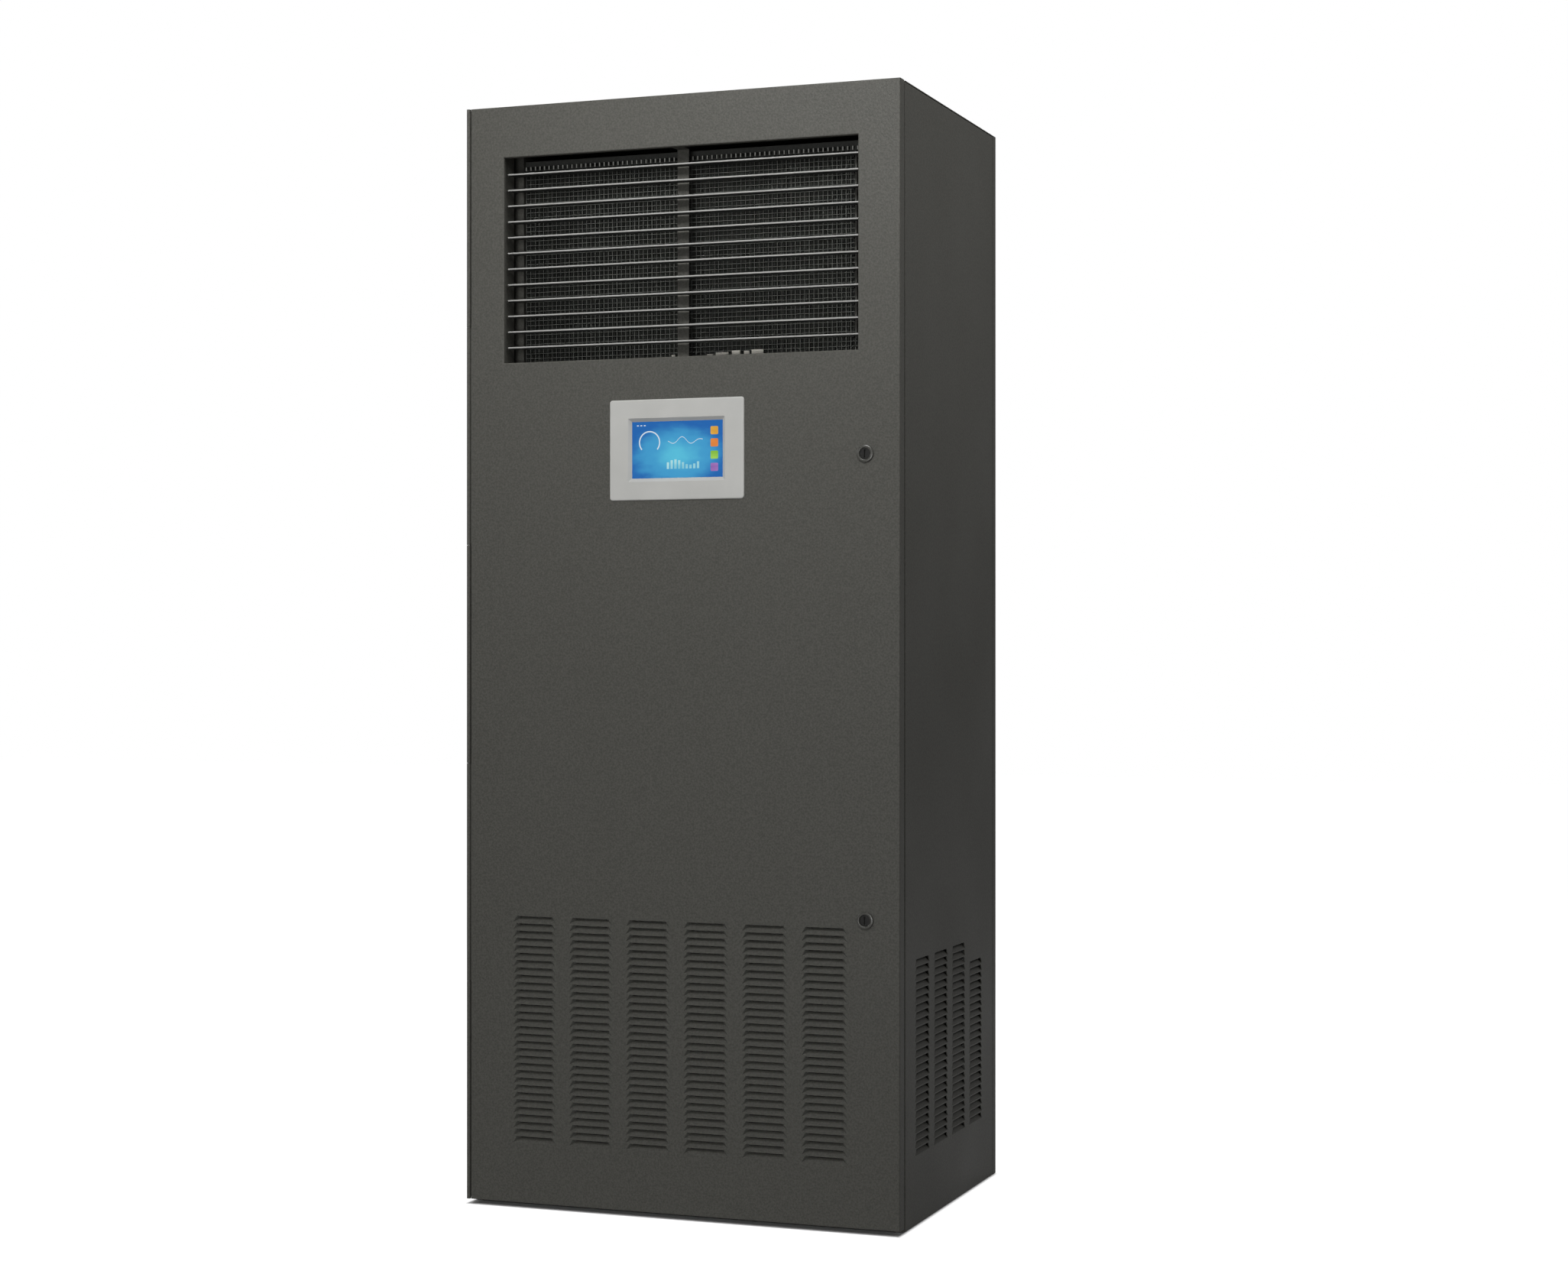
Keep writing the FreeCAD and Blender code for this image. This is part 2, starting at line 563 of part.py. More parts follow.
def flats_wire(centre, along, radius, sides):
    """Regular outline across a direction, with the area of a circle of the given radius."""
    step = 2 * math.pi / sides
    corner = radius * math.sqrt(step / math.sin(step))
    turn = FreeCAD.Rotation(Vector(0, 0, 1), along)
    corners = [
        centre + turn.multVec(Vector(corner * math.cos(step * i), corner * math.sin(step * i), 0))
        for i in range(sides)
    ]
    return Part.makePolygon(corners + corners[:1])


def bent_tube(label, points, radius, bend):
    """Pipe along straight runs joined by tangent arcs, its round drawn as flats of the same area."""
    edges = []
    start = points[0]
    for before, corner, after in zip(points, points[1:], points[2:]):
        enter = (corner - before).normalize()
        leave = (after - corner).normalize()
        half_turn = enter.getAngle(leave) / 2
        reach = bend * math.tan(half_turn)
        arc_start = corner - enter * reach
        arc_end = corner + leave * reach
        inside = (leave - enter).normalize()
        middle = corner + inside * (bend / math.cos(half_turn) - bend)
        edges.append(Part.LineSegment(start, arc_start).toShape())
        edges.append(Part.Arc(arc_start, middle, arc_end).toShape())
        start = arc_end
    edges.append(Part.LineSegment(start, points[-1]).toShape())
    path = Part.Wire(edges)
    ring = flats_wire(points[0], points[1] - points[0], radius, int(size("pipe_sides")))
    pipe = doc.addObject("Part::Feature", label)
    pipe.Label = label
    pipe.Shape = path.makePipeShell([ring], True, False)
    expected = math.pi * radius ** 2 * path.Length
    if abs(pipe.Shape.Volume / expected - 1) > 0.01:
        raise RuntimeError(f"{label}: pipe volume is off")
    parts.append(pipe)
    return pipe


def build_base():
    """Base tray that rests on the floor, with anchor holes, a cable entry and a drain outlet."""
    body = new_body("base_frame")
    outline = (f"-{FRAME_SIDE}", FRAME_SIDE, CABINET_FRONT, CABINET_REAR)
    pad_rectangle(body, "XY", "0", "Size.base_height", *outline)
    inside = (f"-{FRAME_SIDE} + Size.base_wall", f"{FRAME_SIDE} - Size.base_wall",
              f"{CABINET_FRONT} + Size.base_wall", f"{CABINET_REAR} - Size.base_wall")
    pocket_rectangle(body, "XY", "Size.base_wall", "Size.base_height", *inside)
    sketch = new_sketch(body, "XY")
    for side in ("-", ""):
        for end in ("-", "+"):
            add_circle(sketch, f"{side}Size.anchor_spacing_x / 2",
                       f"{MID_Y} {end} Size.anchor_spacing_y / 2", "Size.anchor_radius")
    add_circle(sketch, "Size.grommet_x", "Size.grommet_y",
               "Size.grommet_bore + Size.grommet_wall / 2 + Size.run_gap")
    add_circle(sketch, "Size.drain_x", ROD_Y, "Size.drain_radius - Size.drain_wall")
    pocket(body, sketch, "Size.base_wall")

    grommet = new_body("cable_grommet")
    neck = "Size.grommet_bore + Size.grommet_wall / 2"
    rim = "Size.grommet_bore + Size.grommet_wall"
    revolve(grommet, "XZ", [
        ("Size.grommet_bore", "0.5 * Size.base_wall"),
        (neck, "0.5 * Size.base_wall"),
        (neck, "Size.base_wall"),
        (rim, "Size.base_wall"),
        (rim, "Size.base_wall + Size.grommet_height"),
        ("Size.grommet_bore", "Size.base_wall + Size.grommet_height"),
    ])
    place(grommet, "Size.grommet_x", "Size.grommet_y")


def build_posts():
    """Four square tube posts standing in the corners of the base tray."""
    body = new_body("corner_posts")
    sketch = new_sketch(body, "XY", "Size.base_wall")
    spans_x = ((f"-{POST_OUTER}", f"-{POST_INNER}"), (POST_INNER, POST_OUTER))
    spans_y = ((POST_FRONT, f"{POST_FRONT} + Size.post_size"), (f"{POST_REAR} - Size.post_size", POST_REAR))
    for x_low, x_high in spans_x:
        for y_low, y_high in spans_y:
            add_rectangle(sketch, x_low, x_high, y_low, y_high)
            add_rectangle(sketch, f"{x_low} + Size.post_wall", f"{x_high} - Size.post_wall",
                          f"{y_low} + Size.post_wall", f"{y_high} - Size.post_wall")
    pad(body, sketch, f"{TOP_UNDER} - Size.base_wall")


def build_panels():
    """Top, left, right and rear panels, the rear one with its pipe holes and screws."""
    top = new_body("top_panel")
    pad_rectangle(top, "XY", TOP_UNDER, "Size.sheet", f"-{SIDE}", SIDE, CABINET_FRONT, CABINET_REAR)
    pad_ring(top, "XY", f"{TOP_UNDER} - Size.top_flange", "Size.top_flange",
             f"-{FRAME_SIDE}", FRAME_SIDE, CABINET_FRONT, CABINET_REAR, "Size.sheet")

    edges = (CABINET_FRONT, CABINET_REAR, "Size.panel_floor_gap", f"{TOP_UNDER} - Size.fit_gap")
    left = new_body("left_panel")
    pan(left, "YZ", f"-{SIDE}", "Size.panel_return", *edges, open_low=False)

    right = new_body("right_panel")
    pan(right, "YZ", f"{SIDE} - Size.panel_return", "Size.panel_return", *edges, open_low=True)
    columns = "(Size.side_louvre_columns - 1)"
    span_y = f"({columns} * Size.louvre_column_pitch + Size.louvre_width)"
    first_y = f"Size.side_louvre_centre_y - {span_y} / 2"
    low_z = "Size.side_louvre_top_z - (Size.side_louvre_rows - 1) * Size.louvre_pitch - Size.louvre_cut"
    lower = louvre(right, "YZ", SIDE, -1, first_y, low_z)
    full_rows = "(Size.side_louvre_rows - Size.side_louvre_short)"
    repeat(right, lower, "Z", "Size.louvre_pitch", full_rows,
           "Y", "Size.louvre_column_pitch", "Size.side_louvre_columns")
    upper = louvre(right, "YZ", SIDE, -1, first_y, f"{low_z} + {full_rows} * Size.louvre_pitch")
    repeat(right, upper, "Z", "Size.louvre_pitch", "Size.side_louvre_short",
           "Y", "Size.louvre_column_pitch", columns)

    rear = new_body("rear_panel")
    pan(rear, "XZ", REAR_FRONT, "Size.rear_depth", f"-{SIDE}", SIDE,
        "Size.panel_floor_gap", "Size.cabinet_height", open_low=True)
    sketch = new_sketch(rear, "XZ", f"{REAR} - Size.sheet")
    gas_z = f"{FOOT_Z} + Size.compressor_height + Size.gas_rise"
    add_circle(sketch, "Size.compressor_x - Size.pipe_offset", gas_z, "Size.gas_radius + Size.pipe_hole_gap")
    add_circle(sketch, "Size.liquid_x", "Size.liquid_stub_z", "Size.liquid_radius + Size.pipe_hole_gap")
    pocket(rear, sketch, "Size.sheet")

    screws = new_body("rear_screws")
    sketch = new_sketch(screws, "XZ", REAR)
    centre_x = f"(-{SIDE} + Size.screw_inset)"
    centre_z = "(Size.panel_floor_gap + Size.screw_inset)"
    corners = range(6)
    add_polygon(sketch, [
        (f"{centre_x} + Size.screw_radius * cos({60 * i})", f"{centre_z} + Size.screw_radius * sin({60 * i})")
        for i in corners
    ])
    head = pad(screws, sketch, "Size.screw_head")
    span_z = "(Size.cabinet_height - Size.panel_floor_gap - 2 * Size.screw_inset)"
    repeat(screws, [head], "Z", f"{span_z} / (Size.screw_rows - 1)", "Size.screw_rows",
           "X", f"2 * ({SIDE} - Size.screw_inset)", "2")


def build_door():
    """Door pan with outlet opening, display and lock cut-outs and the bank of pressed louvres."""
    body = new_body("door_panel")
    edges = (DOOR_LEFT, SIDE, "Size.door_floor_gap", "Size.cabinet_height")
    pan(body, "XZ", FRONT, "Size.door_depth", *edges, open_low=False)
    pad_ring(body, "XZ", f"{DOOR_BACK} - Size.sheet", "Size.sheet", *edges, "Size.door_flange")
    outlet = (f"-{OUTLET_HALF}", OUTLET_HALF, OUTLET_LOW, OUTLET_HIGH)
    pad_ring(body, "XZ", DOOR_SKIN_BACK, "Size.outlet_lip - Size.sheet", f"-{OUTLET_HALF} - Size.sheet",
             f"{OUTLET_HALF} + Size.sheet", f"{OUTLET_LOW} - Size.sheet", f"{OUTLET_HIGH} + Size.sheet",
             "Size.sheet")
    opening = pocket_rectangle(body, "XZ", FRONT, "Size.sheet", *outlet)
    doc.recompute()
    front_y = min(vertex.Point.y for vertex in opening.Shape.Vertexes)
    beside = size("outlet_width") / 2 + size("sheet")
    round_edges(body, opening, lies_in("y", front_y, beside), "Size.fold_radius + Size.sheet")
    sketch = new_sketch(body, "XZ", FRONT)
    half_width = "(Size.controller_width / 2 - Size.screen_border)"
    half_height = "(Size.controller_height / 2 - Size.screen_border)"
    add_rectangle(sketch, f"-{half_width}", half_width, f"Size.display_centre_z - {half_height}",
                  f"Size.display_centre_z + {half_height}")
    for height in ("Size.upper_lock_z", "Size.lower_lock_z"):
        add_circle(sketch, "Size.lock_x", height, "Size.lock_barrel_radius + Size.fit_gap")
    pocket(body, sketch, "Size.sheet")
    first_x = "-(Size.louvre_columns - 1) * Size.louvre_column_pitch / 2 - Size.louvre_width / 2"
    low_z = "Size.louvre_top_z - (Size.louvre_rows - 1) * Size.louvre_pitch - Size.louvre_cut"
    flap = louvre(body, "XZ", FRONT, 1, first_x, low_z)
    repeat(body, flap, "Z", "Size.louvre_pitch", "Size.louvre_rows",
           "X", "Size.louvre_column_pitch", "Size.louvre_columns")


def build_door_fittings():
    """Stiffeners behind the skin and the gasket on the door's inner flange."""
    stiffeners = new_body("door_stiffeners")
    left = f"{DOOR_LEFT} + Size.stiffener_inset"
    sketch = new_sketch(stiffeners, "YZ", left)
    low = "(Size.stiffener_low_z - Size.stiffener_width / 2)"
    high = "(Size.stiffener_low_z + Size.stiffener_width / 2)"
    web = f"({DOOR_SKIN_BACK} + Size.stiffener_depth)"
    add_polygon(sketch, [
        (DOOR_SKIN_BACK, low),
        (web, low),
        (web, high),
        (DOOR_SKIN_BACK, high),
        (DOOR_SKIN_BACK, f"{high} - Size.sheet"),
        (f"{web} - Size.sheet", f"{high} - Size.sheet"),
        (f"{web} - Size.sheet", f"{low} + Size.sheet"),
        (DOOR_SKIN_BACK, f"{low} + Size.sheet"),
    ])
    channel = pad(stiffeners, sketch, f"{SIDE} - 2 * Size.stiffener_inset - {DOOR_LEFT}")
    repeat(stiffeners, [channel], "Z", "Size.stiffener_high_z - Size.stiffener_low_z", "2")

    gasket = new_body("door_gasket")
    pad_ring(gasket, "XZ", DOOR_BACK, "Size.seal_gap - Size.fit_gap", f"{DOOR_LEFT} + Size.gasket_inset",
             f"{SIDE} - Size.gasket_inset", "Size.door_floor_gap + Size.gasket_inset",
             "Size.cabinet_height - Size.gasket_inset", "Size.gasket_width")


def build_display():
    """Display bezel with its bevelled rim and sloping window, the screen and the controller box."""
    bezel = new_body("display_bezel")
    face = f"({FRONT} - Size.bezel_proud)"
    half_width = "(Size.bezel_width / 2)"
    half_height = "(Size.bezel_height / 2)"
    plate = pad_rectangle(bezel, "XZ", face, "Size.bezel_proud", f"-{half_width}", half_width,
                          f"-{half_height}", half_height)
    doc.recompute()
    corners = edges_where(plate, lambda edge: abs(edge.tangentAt(edge.FirstParameter).y) > 0.9)
    rounding = bezel.newObject("PartDesign::Fillet", "Corners")
    rounding.Base = (plate, corners)
    rounding.setExpression("Radius", "Size.bezel_corner")
    doc.recompute()
    front_y = rounding.Shape.BoundBox.YMin
    rim = edges_where(rounding, lambda edge: abs(edge.BoundBox.YMax - front_y) < 0.01)
    bevel = bezel.newObject("PartDesign::Chamfer", "Bevel")
    bevel.Base = (rounding, rim)
    bevel.setExpression("Size", "Size.bezel_bevel")
    doc.recompute()
    spigot_width = "(Size.controller_width / 2 - Size.screen_border - Size.fit_gap)"
    spigot_height = "(Size.controller_height / 2 - Size.screen_border - Size.fit_gap)"
    pad_rectangle(bezel, "XZ", FRONT, "Size.screen_recess - Size.bezel_proud + Size.screen_thickness",
                  f"-{spigot_width}", spigot_width, f"-{spigot_height}", spigot_height)
    glass = f"{face} + Size.screen_recess"
    outer = new_sketch(bezel, "XZ", face)
    inner = new_sketch(bezel, "XZ", glass)
    for sketch, slope in ((outer, "Size.window_slope"), (inner, "0")):
        window_width = f"(Size.screen_width / 2 + {slope})"
        window_height = f"(Size.screen_height / 2 + {slope})"
        add_rectangle(sketch, f"-{window_width}", window_width, f"-{window_height}", window_height)
    window = bezel.newObject("PartDesign::SubtractiveLoft", "Window")
    window.Profile = outer
    window.Sections = [inner]
    window.Ruled = True
    seat_width = "(Size.screen_width / 2 + Size.screen_border)"
    seat_height = "(Size.screen_height / 2 + Size.screen_border)"
    pocket_rectangle(bezel, "XZ", glass, "2 * Size.screen_thickness", f"-{seat_width}", seat_width,
                     f"-{seat_height}", seat_height)
    place(bezel, z="Size.display_centre_z")

    screen = new_body("display_screen")
    pad_rectangle(screen, "XZ", glass, "Size.screen_thickness",
                  f"-{seat_width} + Size.fit_gap", f"{seat_width} - Size.fit_gap",
                  f"-{seat_height} + Size.fit_gap", f"{seat_height} - Size.fit_gap")
    place(screen, z="Size.display_centre_z")

    controller = new_body("controller_box")
    pan(controller, "XZ", DOOR_SKIN_BACK, "Size.controller_depth", "-Size.controller_width / 2",
        "Size.controller_width / 2", "-Size.controller_height / 2", "Size.controller_height / 2",
        open_low=True)
    place(controller, z="Size.display_centre_z")


def build_locks():
    """Two quarter-turn locks: fixed ring and barrel in the door, turning core with slot and cam."""
    housings = new_body("lock_housings")
    bore = "Size.lock_core_radius + Size.run_gap"
    ring = revolve(housings, "XY", [
        (bore, "-Size.lock_proud"),
        ("Size.lock_radius - Size.lock_bevel", "-Size.lock_proud"),
        ("Size.lock_radius", "-Size.lock_proud + Size.lock_bevel"),
        ("Size.lock_radius", "0"),
        ("Size.lock_barrel_radius", "0"),
        ("Size.lock_barrel_radius", "Size.lock_barrel_length"),
        (bore, "Size.lock_barrel_length"),
    ])
    repeat(housings, [ring], "Z", "Size.upper_lock_z - Size.lower_lock_z", "2")
    place(housings, "Size.lock_x", FRONT, "Size.lower_lock_z")

    for end in ("upper", "lower"):
        core = new_body(f"{end}_lock_core")
        start = "-Size.lock_proud + Size.lock_recess"
        pad_circle(core, "XZ", start, f"{CAM_Y} - ({start})", "0", "0", "Size.lock_core_radius")
        pad_rectangle(core, "XZ", CAM_Y, "Size.cam_thickness", "-Size.cam_width / 2", "Size.cam_width / 2",
                      "-Size.cam_length", "Size.cam_width / 2")
        slot_half = "Size.lock_slot_width / 2"
        slot_reach = "Size.lock_slot_length / 2"
        pocket_rectangle(core, "XZ", start, "Size.lock_slot_width", f"-{slot_half}", slot_half,
                         f"-{slot_reach}", slot_reach)
        place(core, "Size.lock_x", FRONT, f"Size.{end}_lock_z")


def build_hinge():
    """Full-height hinge: two leaves with interleaved knuckles on one pin."""
    pitch = "((Size.cabinet_height - Size.door_floor_gap + Size.knuckle_gap) / Size.hinge_knuckles)"
    length = f"{pitch} - Size.knuckle_gap"
    leaf_y = f"({HINGE_Y} + Size.hinge_radius + Size.fit_gap)"
    height = "Size.cabinet_height - Size.door_floor_gap"
    seat_y = f"({CABINET_FRONT} - Size.fit_gap)"
    leaf_back = f"{DOOR_BACK} - Size.hinge_leaf"
    door_leaf = (f"{DOOR_LEFT} - Size.hinge_leaf", DOOR_LEFT)
    frame_leaf = (f"-{SIDE}", f"-{SIDE} + Size.hinge_leaf")
    leaves = (
        ("hinge_door_leaf", door_leaf, leaf_back, f"Size.door_floor_gap + {pitch}",
         "(Size.hinge_knuckles - 1) / 2", HINGE_X, DOOR_LEFT),
        ("hinge_frame_leaf", frame_leaf, seat_y, "Size.door_floor_gap", "(Size.hinge_knuckles + 1) / 2",
         f"-{SIDE}", HINGE_X),
    )
    for label, span, back, first_z, count, tab_low, tab_high in leaves:
        leaf = new_body(label)
        pad_rectangle(leaf, "XY", "Size.door_floor_gap", height, *span, leaf_y, back)
        if label == "hinge_frame_leaf":
            pad_rectangle(leaf, "XY", "Size.door_floor_gap", height, f"-{SIDE}",
                          f"{DOOR_LEFT} + Size.fit_gap", f"{seat_y} - Size.hinge_leaf", seat_y)
        barrel = pad_circle(leaf, "XY", first_z, length, HINGE_X, HINGE_Y, "Size.hinge_radius")
        tab = pad_rectangle(leaf, "XY", first_z, length, *span, HINGE_Y, leaf_y)
        link = pad_rectangle(leaf, "XY", first_z, length, tab_low, tab_high, HINGE_Y,
                             f"{HINGE_Y} + Size.hinge_leaf")
        repeat(leaf, [barrel, tab, link], "Z", f"2 * {pitch}", count)
        pocket_circle(leaf, "XY", "Size.door_floor_gap", height, HINGE_X, HINGE_Y,
                      "Size.hinge_pin_radius + Size.run_gap")

    pin = new_body("hinge_pin")
    pad_circle(pin, "XY", "Size.door_floor_gap", height, HINGE_X, HINGE_Y, "Size.hinge_pin_radius")


def build_grille():
    """Ganged outlet blades on tangs, their bearers, the bar behind them and the tie bar."""
    bearers = new_body("grille_bearers")
    low = f"{OUTLET_LOW} - Size.bearer_margin"
    back = f"{BLADE_BACK} + Size.bearer_margin"
    first_z = f"({OUTLET_LOW} + {BLADE_PITCH})"
    outer = f"({BEARER_X} + Size.bearer_flange)"
    web = f"({BEARER_X} + Size.bearer_thickness)"
    foot = f"{DOOR_SKIN_BACK} + Size.bearer_thickness"
    holes = []
    for sign in ("-", ""):
        sketch = new_sketch(bearers, "XY", low)
        add_polygon(sketch, [
            (f"{sign}{BEARER_X}", DOOR_SKIN_BACK),
            (f"{sign}{outer}", DOOR_SKIN_BACK),
            (f"{sign}{outer}", foot),
            (f"{sign}{web}", foot),
            (f"{sign}{web}", back),
            (f"{sign}{BEARER_X}", back),
        ])
        pad(bearers, sketch, "Size.outlet_height + 2 * Size.bearer_margin")
    for start in (f"-{web}", BEARER_X):
        holes.append(pocket_circle(bearers, "YZ", start, "Size.bearer_thickness", BLADE_Y, first_z,
                                   f"{TANG_RADIUS} + Size.run_gap"))
    repeat(bearers, holes, "Z", BLADE_PITCH, "Size.blade_count")

    mullion = new_body("grille_mullion")
    sketch = new_sketch(mullion, "YZ", "Size.mullion_x - Size.mullion_width / 2")
    clear = "(Size.sheet + Size.fit_gap)"
    staple = (DOOR_SKIN_BACK, f"{BLADE_BACK} + Size.mullion_gap", f"{OUTLET_LOW} - {clear}",
              f"{OUTLET_HIGH} + {clear}", "Size.mullion_thickness", "Size.mullion_foot")
    add_polygon(sketch, staple_outline(*staple))
    pad(mullion, sketch, "Size.mullion_width")

    half_depth = "Size.blade_depth / 2"
    half_sheet = "Size.blade_thickness / 2"
    half_nose = "Size.blade_nose / 2"
    nose_end = f"-{half_depth} + Size.blade_nose_length"
    edge = [
        (f"-{half_depth}", f"{half_sheet} / 2"),
        (f"-{half_depth} + {half_nose}", half_nose),
        (f"{nose_end} - {half_nose}", half_nose),
        (nose_end, half_sheet),
        (half_depth, half_sheet),
    ]
    lower_edge = [(depth, f"-{height}") for depth, height in edge]
    upper_edge = edge[::-1]
    tang = ("-Size.tang_width / 2", "Size.tang_width / 2", f"-{half_sheet}", half_sheet)
    reach = f"{web} - {BLADE_HALF}"
    for number in range(int(size("blade_count"))):
        blade = new_body(f"outlet_blade_{number + 1:02d}")
        sketch = new_sketch(blade, "YZ", f"-{BLADE_HALF}")
        add_polygon(sketch, lower_edge + upper_edge)
        pad(blade, sketch, f"2 * {BLADE_HALF}")
        pad_rectangle(blade, "YZ", f"-{web}", reach, *tang)
        pad_rectangle(blade, "YZ", BLADE_HALF, reach, *tang)
        pad_rectangle(blade, "YZ", f"{TIE_X} - Size.tie_thickness", "Size.tie_thickness",
                      f"{half_depth} - Size.tang_width", "Size.crank_radius + Size.crank_side",
                      "-Size.crank_side", "Size.crank_side")
        pad_rectangle(blade, "YZ", TIE_X, "Size.tie_thickness + 2 * Size.tie_gap",
                      "Size.crank_radius - Size.crank_side / 2", "Size.crank_radius + Size.crank_side / 2",
                      "-Size.crank_side / 2", "Size.crank_side / 2")
        place(blade, y=BLADE_Y, z=f"{first_z} + {number} * {BLADE_PITCH}")

    tie = new_body("blade_tie_bar")
    tie_start = f"{TIE_X} + Size.tie_gap"
    pad_rectangle(tie, "YZ", tie_start, "Size.tie_thickness", "-Size.tie_width / 2", "Size.tie_width / 2",
                  "-Size.tie_width / 2", f"(Size.blade_count - 1) * {BLADE_PITCH} + Size.tie_width / 2")
    hole = pocket_circle(tie, "YZ", tie_start, "Size.tie_thickness", "0", "0",
                         f"{CRANK_RADIUS} + Size.run_gap")
    repeat(tie, [hole], "Z", BLADE_PITCH, "Size.blade_count")
    place(tie, y=f"{BLADE_Y} + Size.crank_radius", z=first_z)


def staple_outline(base, run, low, high, thickness, foot):
    """Bent strip: two feet on a base plane, two legs and a run between them, as (depth, along)."""
    return [
        (base, f"{low} - {foot}"),
        (f"{base} + {thickness}", f"{low} - {foot}"),
        (f"{base} + {thickness}", f"{low} - {thickness}"),
        (f"{run} + {thickness}", f"{low} - {thickness}"),
        (f"{run} + {thickness}", f"{high} + {thickness}"),
        (f"{base} + {thickness}", f"{high} + {thickness}"),
        (f"{base} + {thickness}", f"{high} + {foot}"),
        (base, f"{high} + {foot}"),
        (base, high),
        (run, high),
        (run, low),
        (base, low),
    ]


def build_fan():
    """Fan deck, inlet ring, backward-inclined impeller on its shaft, motor and motor bracket."""
    deck = new_body("fan_deck")
    sketch = new_sketch(deck, "XY", "Size.deck_z")
    notch_x = f"({POST_INNER} - Size.fit_gap)"
    notch_y = f"({POST_FRONT} + Size.post_size + Size.fit_gap)"
    right_edge = [(notch_x, POST_FRONT), (notch_x, notch_y), (POST_OUTER, notch_y), (POST_OUTER, DECK_REAR)]
    left_edge = [(f"-{across}", along) for across, along in reversed(right_edge)]
    add_polygon(sketch, right_edge + left_edge)
    pad(deck, sketch, "Size.deck_thickness")
    sketch = new_sketch(deck, "XY", "Size.deck_z")
    add_circle(sketch, "Size.fan_x", "Size.fan_y", "Size.inlet_mouth")
    add_circle(sketch, "Size.drain_x", ROD_Y, "Size.drain_radius + Size.fit_gap")
    pocket(deck, sketch, "Size.deck_thickness")

    inlet = new_body("inlet_ring")
    narrowing = "(Size.inlet_mouth - Size.inlet_radius)"
    bell = [
        ("Size.inlet_mouth", "0"),
        (f"Size.inlet_mouth - 0.55 * {narrowing}", "0.25 * Size.inlet_rise"),
        (f"Size.inlet_mouth - 0.88 * {narrowing}", "0.6 * Size.inlet_rise"),
        ("Size.inlet_radius", "Size.inlet_rise"),
    ]
    outside = [(f"{radius} + Size.inlet_wall", height) for radius, height in reversed(bell[1:])]
    rim = "Size.inlet_mouth + Size.inlet_flange"
    flange = [
        ("Size.inlet_mouth + Size.inlet_wall", "Size.inlet_wall"),
        (rim, "Size.inlet_wall"),
        (rim, "0"),
    ]
    revolve(inlet, "XZ", bell + outside + flange)
    place(inlet, "Size.fan_x", "Size.fan_y", DECK_TOP)

    wheel = new_body("fan_impeller")
    sketch = new_sketch(wheel, "XY", SHROUD_Z)
    add_circle(sketch, "0", "0", "Size.impeller_radius")
    add_circle(sketch, "0", "0", "Size.impeller_eye")
    pad(wheel, sketch, "Size.impeller_plate")
    pad_circle(wheel, "XY", BACK_PLATE_Z, "Size.impeller_plate", "0", "0", "Size.impeller_radius")
    hub_low = f"{BACK_PLATE_Z} - Size.hub_length"
    pad_circle(wheel, "XY", hub_low, "Size.hub_length", "0", "0", "Size.hub_radius")
    pocket_circle(wheel, "XY", hub_low, "Size.hub_length + Size.impeller_plate", "0", "0",
                  "Size.shaft_radius + Size.run_gap")
    tip = "Size.impeller_radius - Size.impeller_blade_inset"
    blade = pad_rectangle(
        wheel, "XY", f"{SHROUD_Z} + Size.impeller_plate", "Size.impeller_width", "Size.impeller_blade_offset",
        "Size.impeller_blade_offset + Size.impeller_blade_thickness",
        "sqrt(Size.impeller_eye ^ 2 - Size.impeller_blade_offset ^ 2)",
        f"sqrt(({tip}) ^ 2 - (Size.impeller_blade_offset + Size.impeller_blade_thickness) ^ 2)")
    repeat_round(wheel, [blade], "Size.impeller_blades")
    place(wheel, "Size.fan_x", "Size.fan_y")

    shaft = new_body("fan_shaft")
    pad_circle(shaft, "XY", hub_low, f"{MOTOR_Z} + Size.motor_bore - ({hub_low})", "0", "0",
               "Size.shaft_radius")
    place(shaft, "Size.fan_x", "Size.fan_y")

    motor = new_body("fan_motor")
    bore = "Size.shaft_radius + Size.fit_gap"
    bore_end = "Size.motor_bore + Size.fit_gap"
    revolve(motor, "XZ", [
        (bore, "0"),
        ("Size.motor_radius - Size.motor_bevel", "0"),
        ("Size.motor_radius", "Size.motor_bevel"),
        ("Size.motor_radius", "Size.motor_height - Size.motor_bevel"),
        ("Size.motor_radius - Size.motor_bevel", "Size.motor_height"),
        ("0", "Size.motor_height"),
        ("0", bore_end),
        (bore, bore_end),
    ])
    place(motor, "Size.fan_x", "Size.fan_y", MOTOR_Z)

    bracket = new_body("fan_bracket")
    sketch = new_sketch(bracket, "XZ", "-Size.bracket_bar / 2")
    strip = staple_outline(DECK_TOP, f"{MOTOR_Z} + Size.motor_height", "-Size.bracket_reach",
                           "Size.bracket_reach", "Size.bracket_thickness", "Size.bracket_foot")
    add_polygon(sketch, [(along, depth) for depth, along in strip])
    pad(bracket, sketch, "Size.bracket_bar")
    place(bracket, "Size.fan_x", "Size.fan_y")


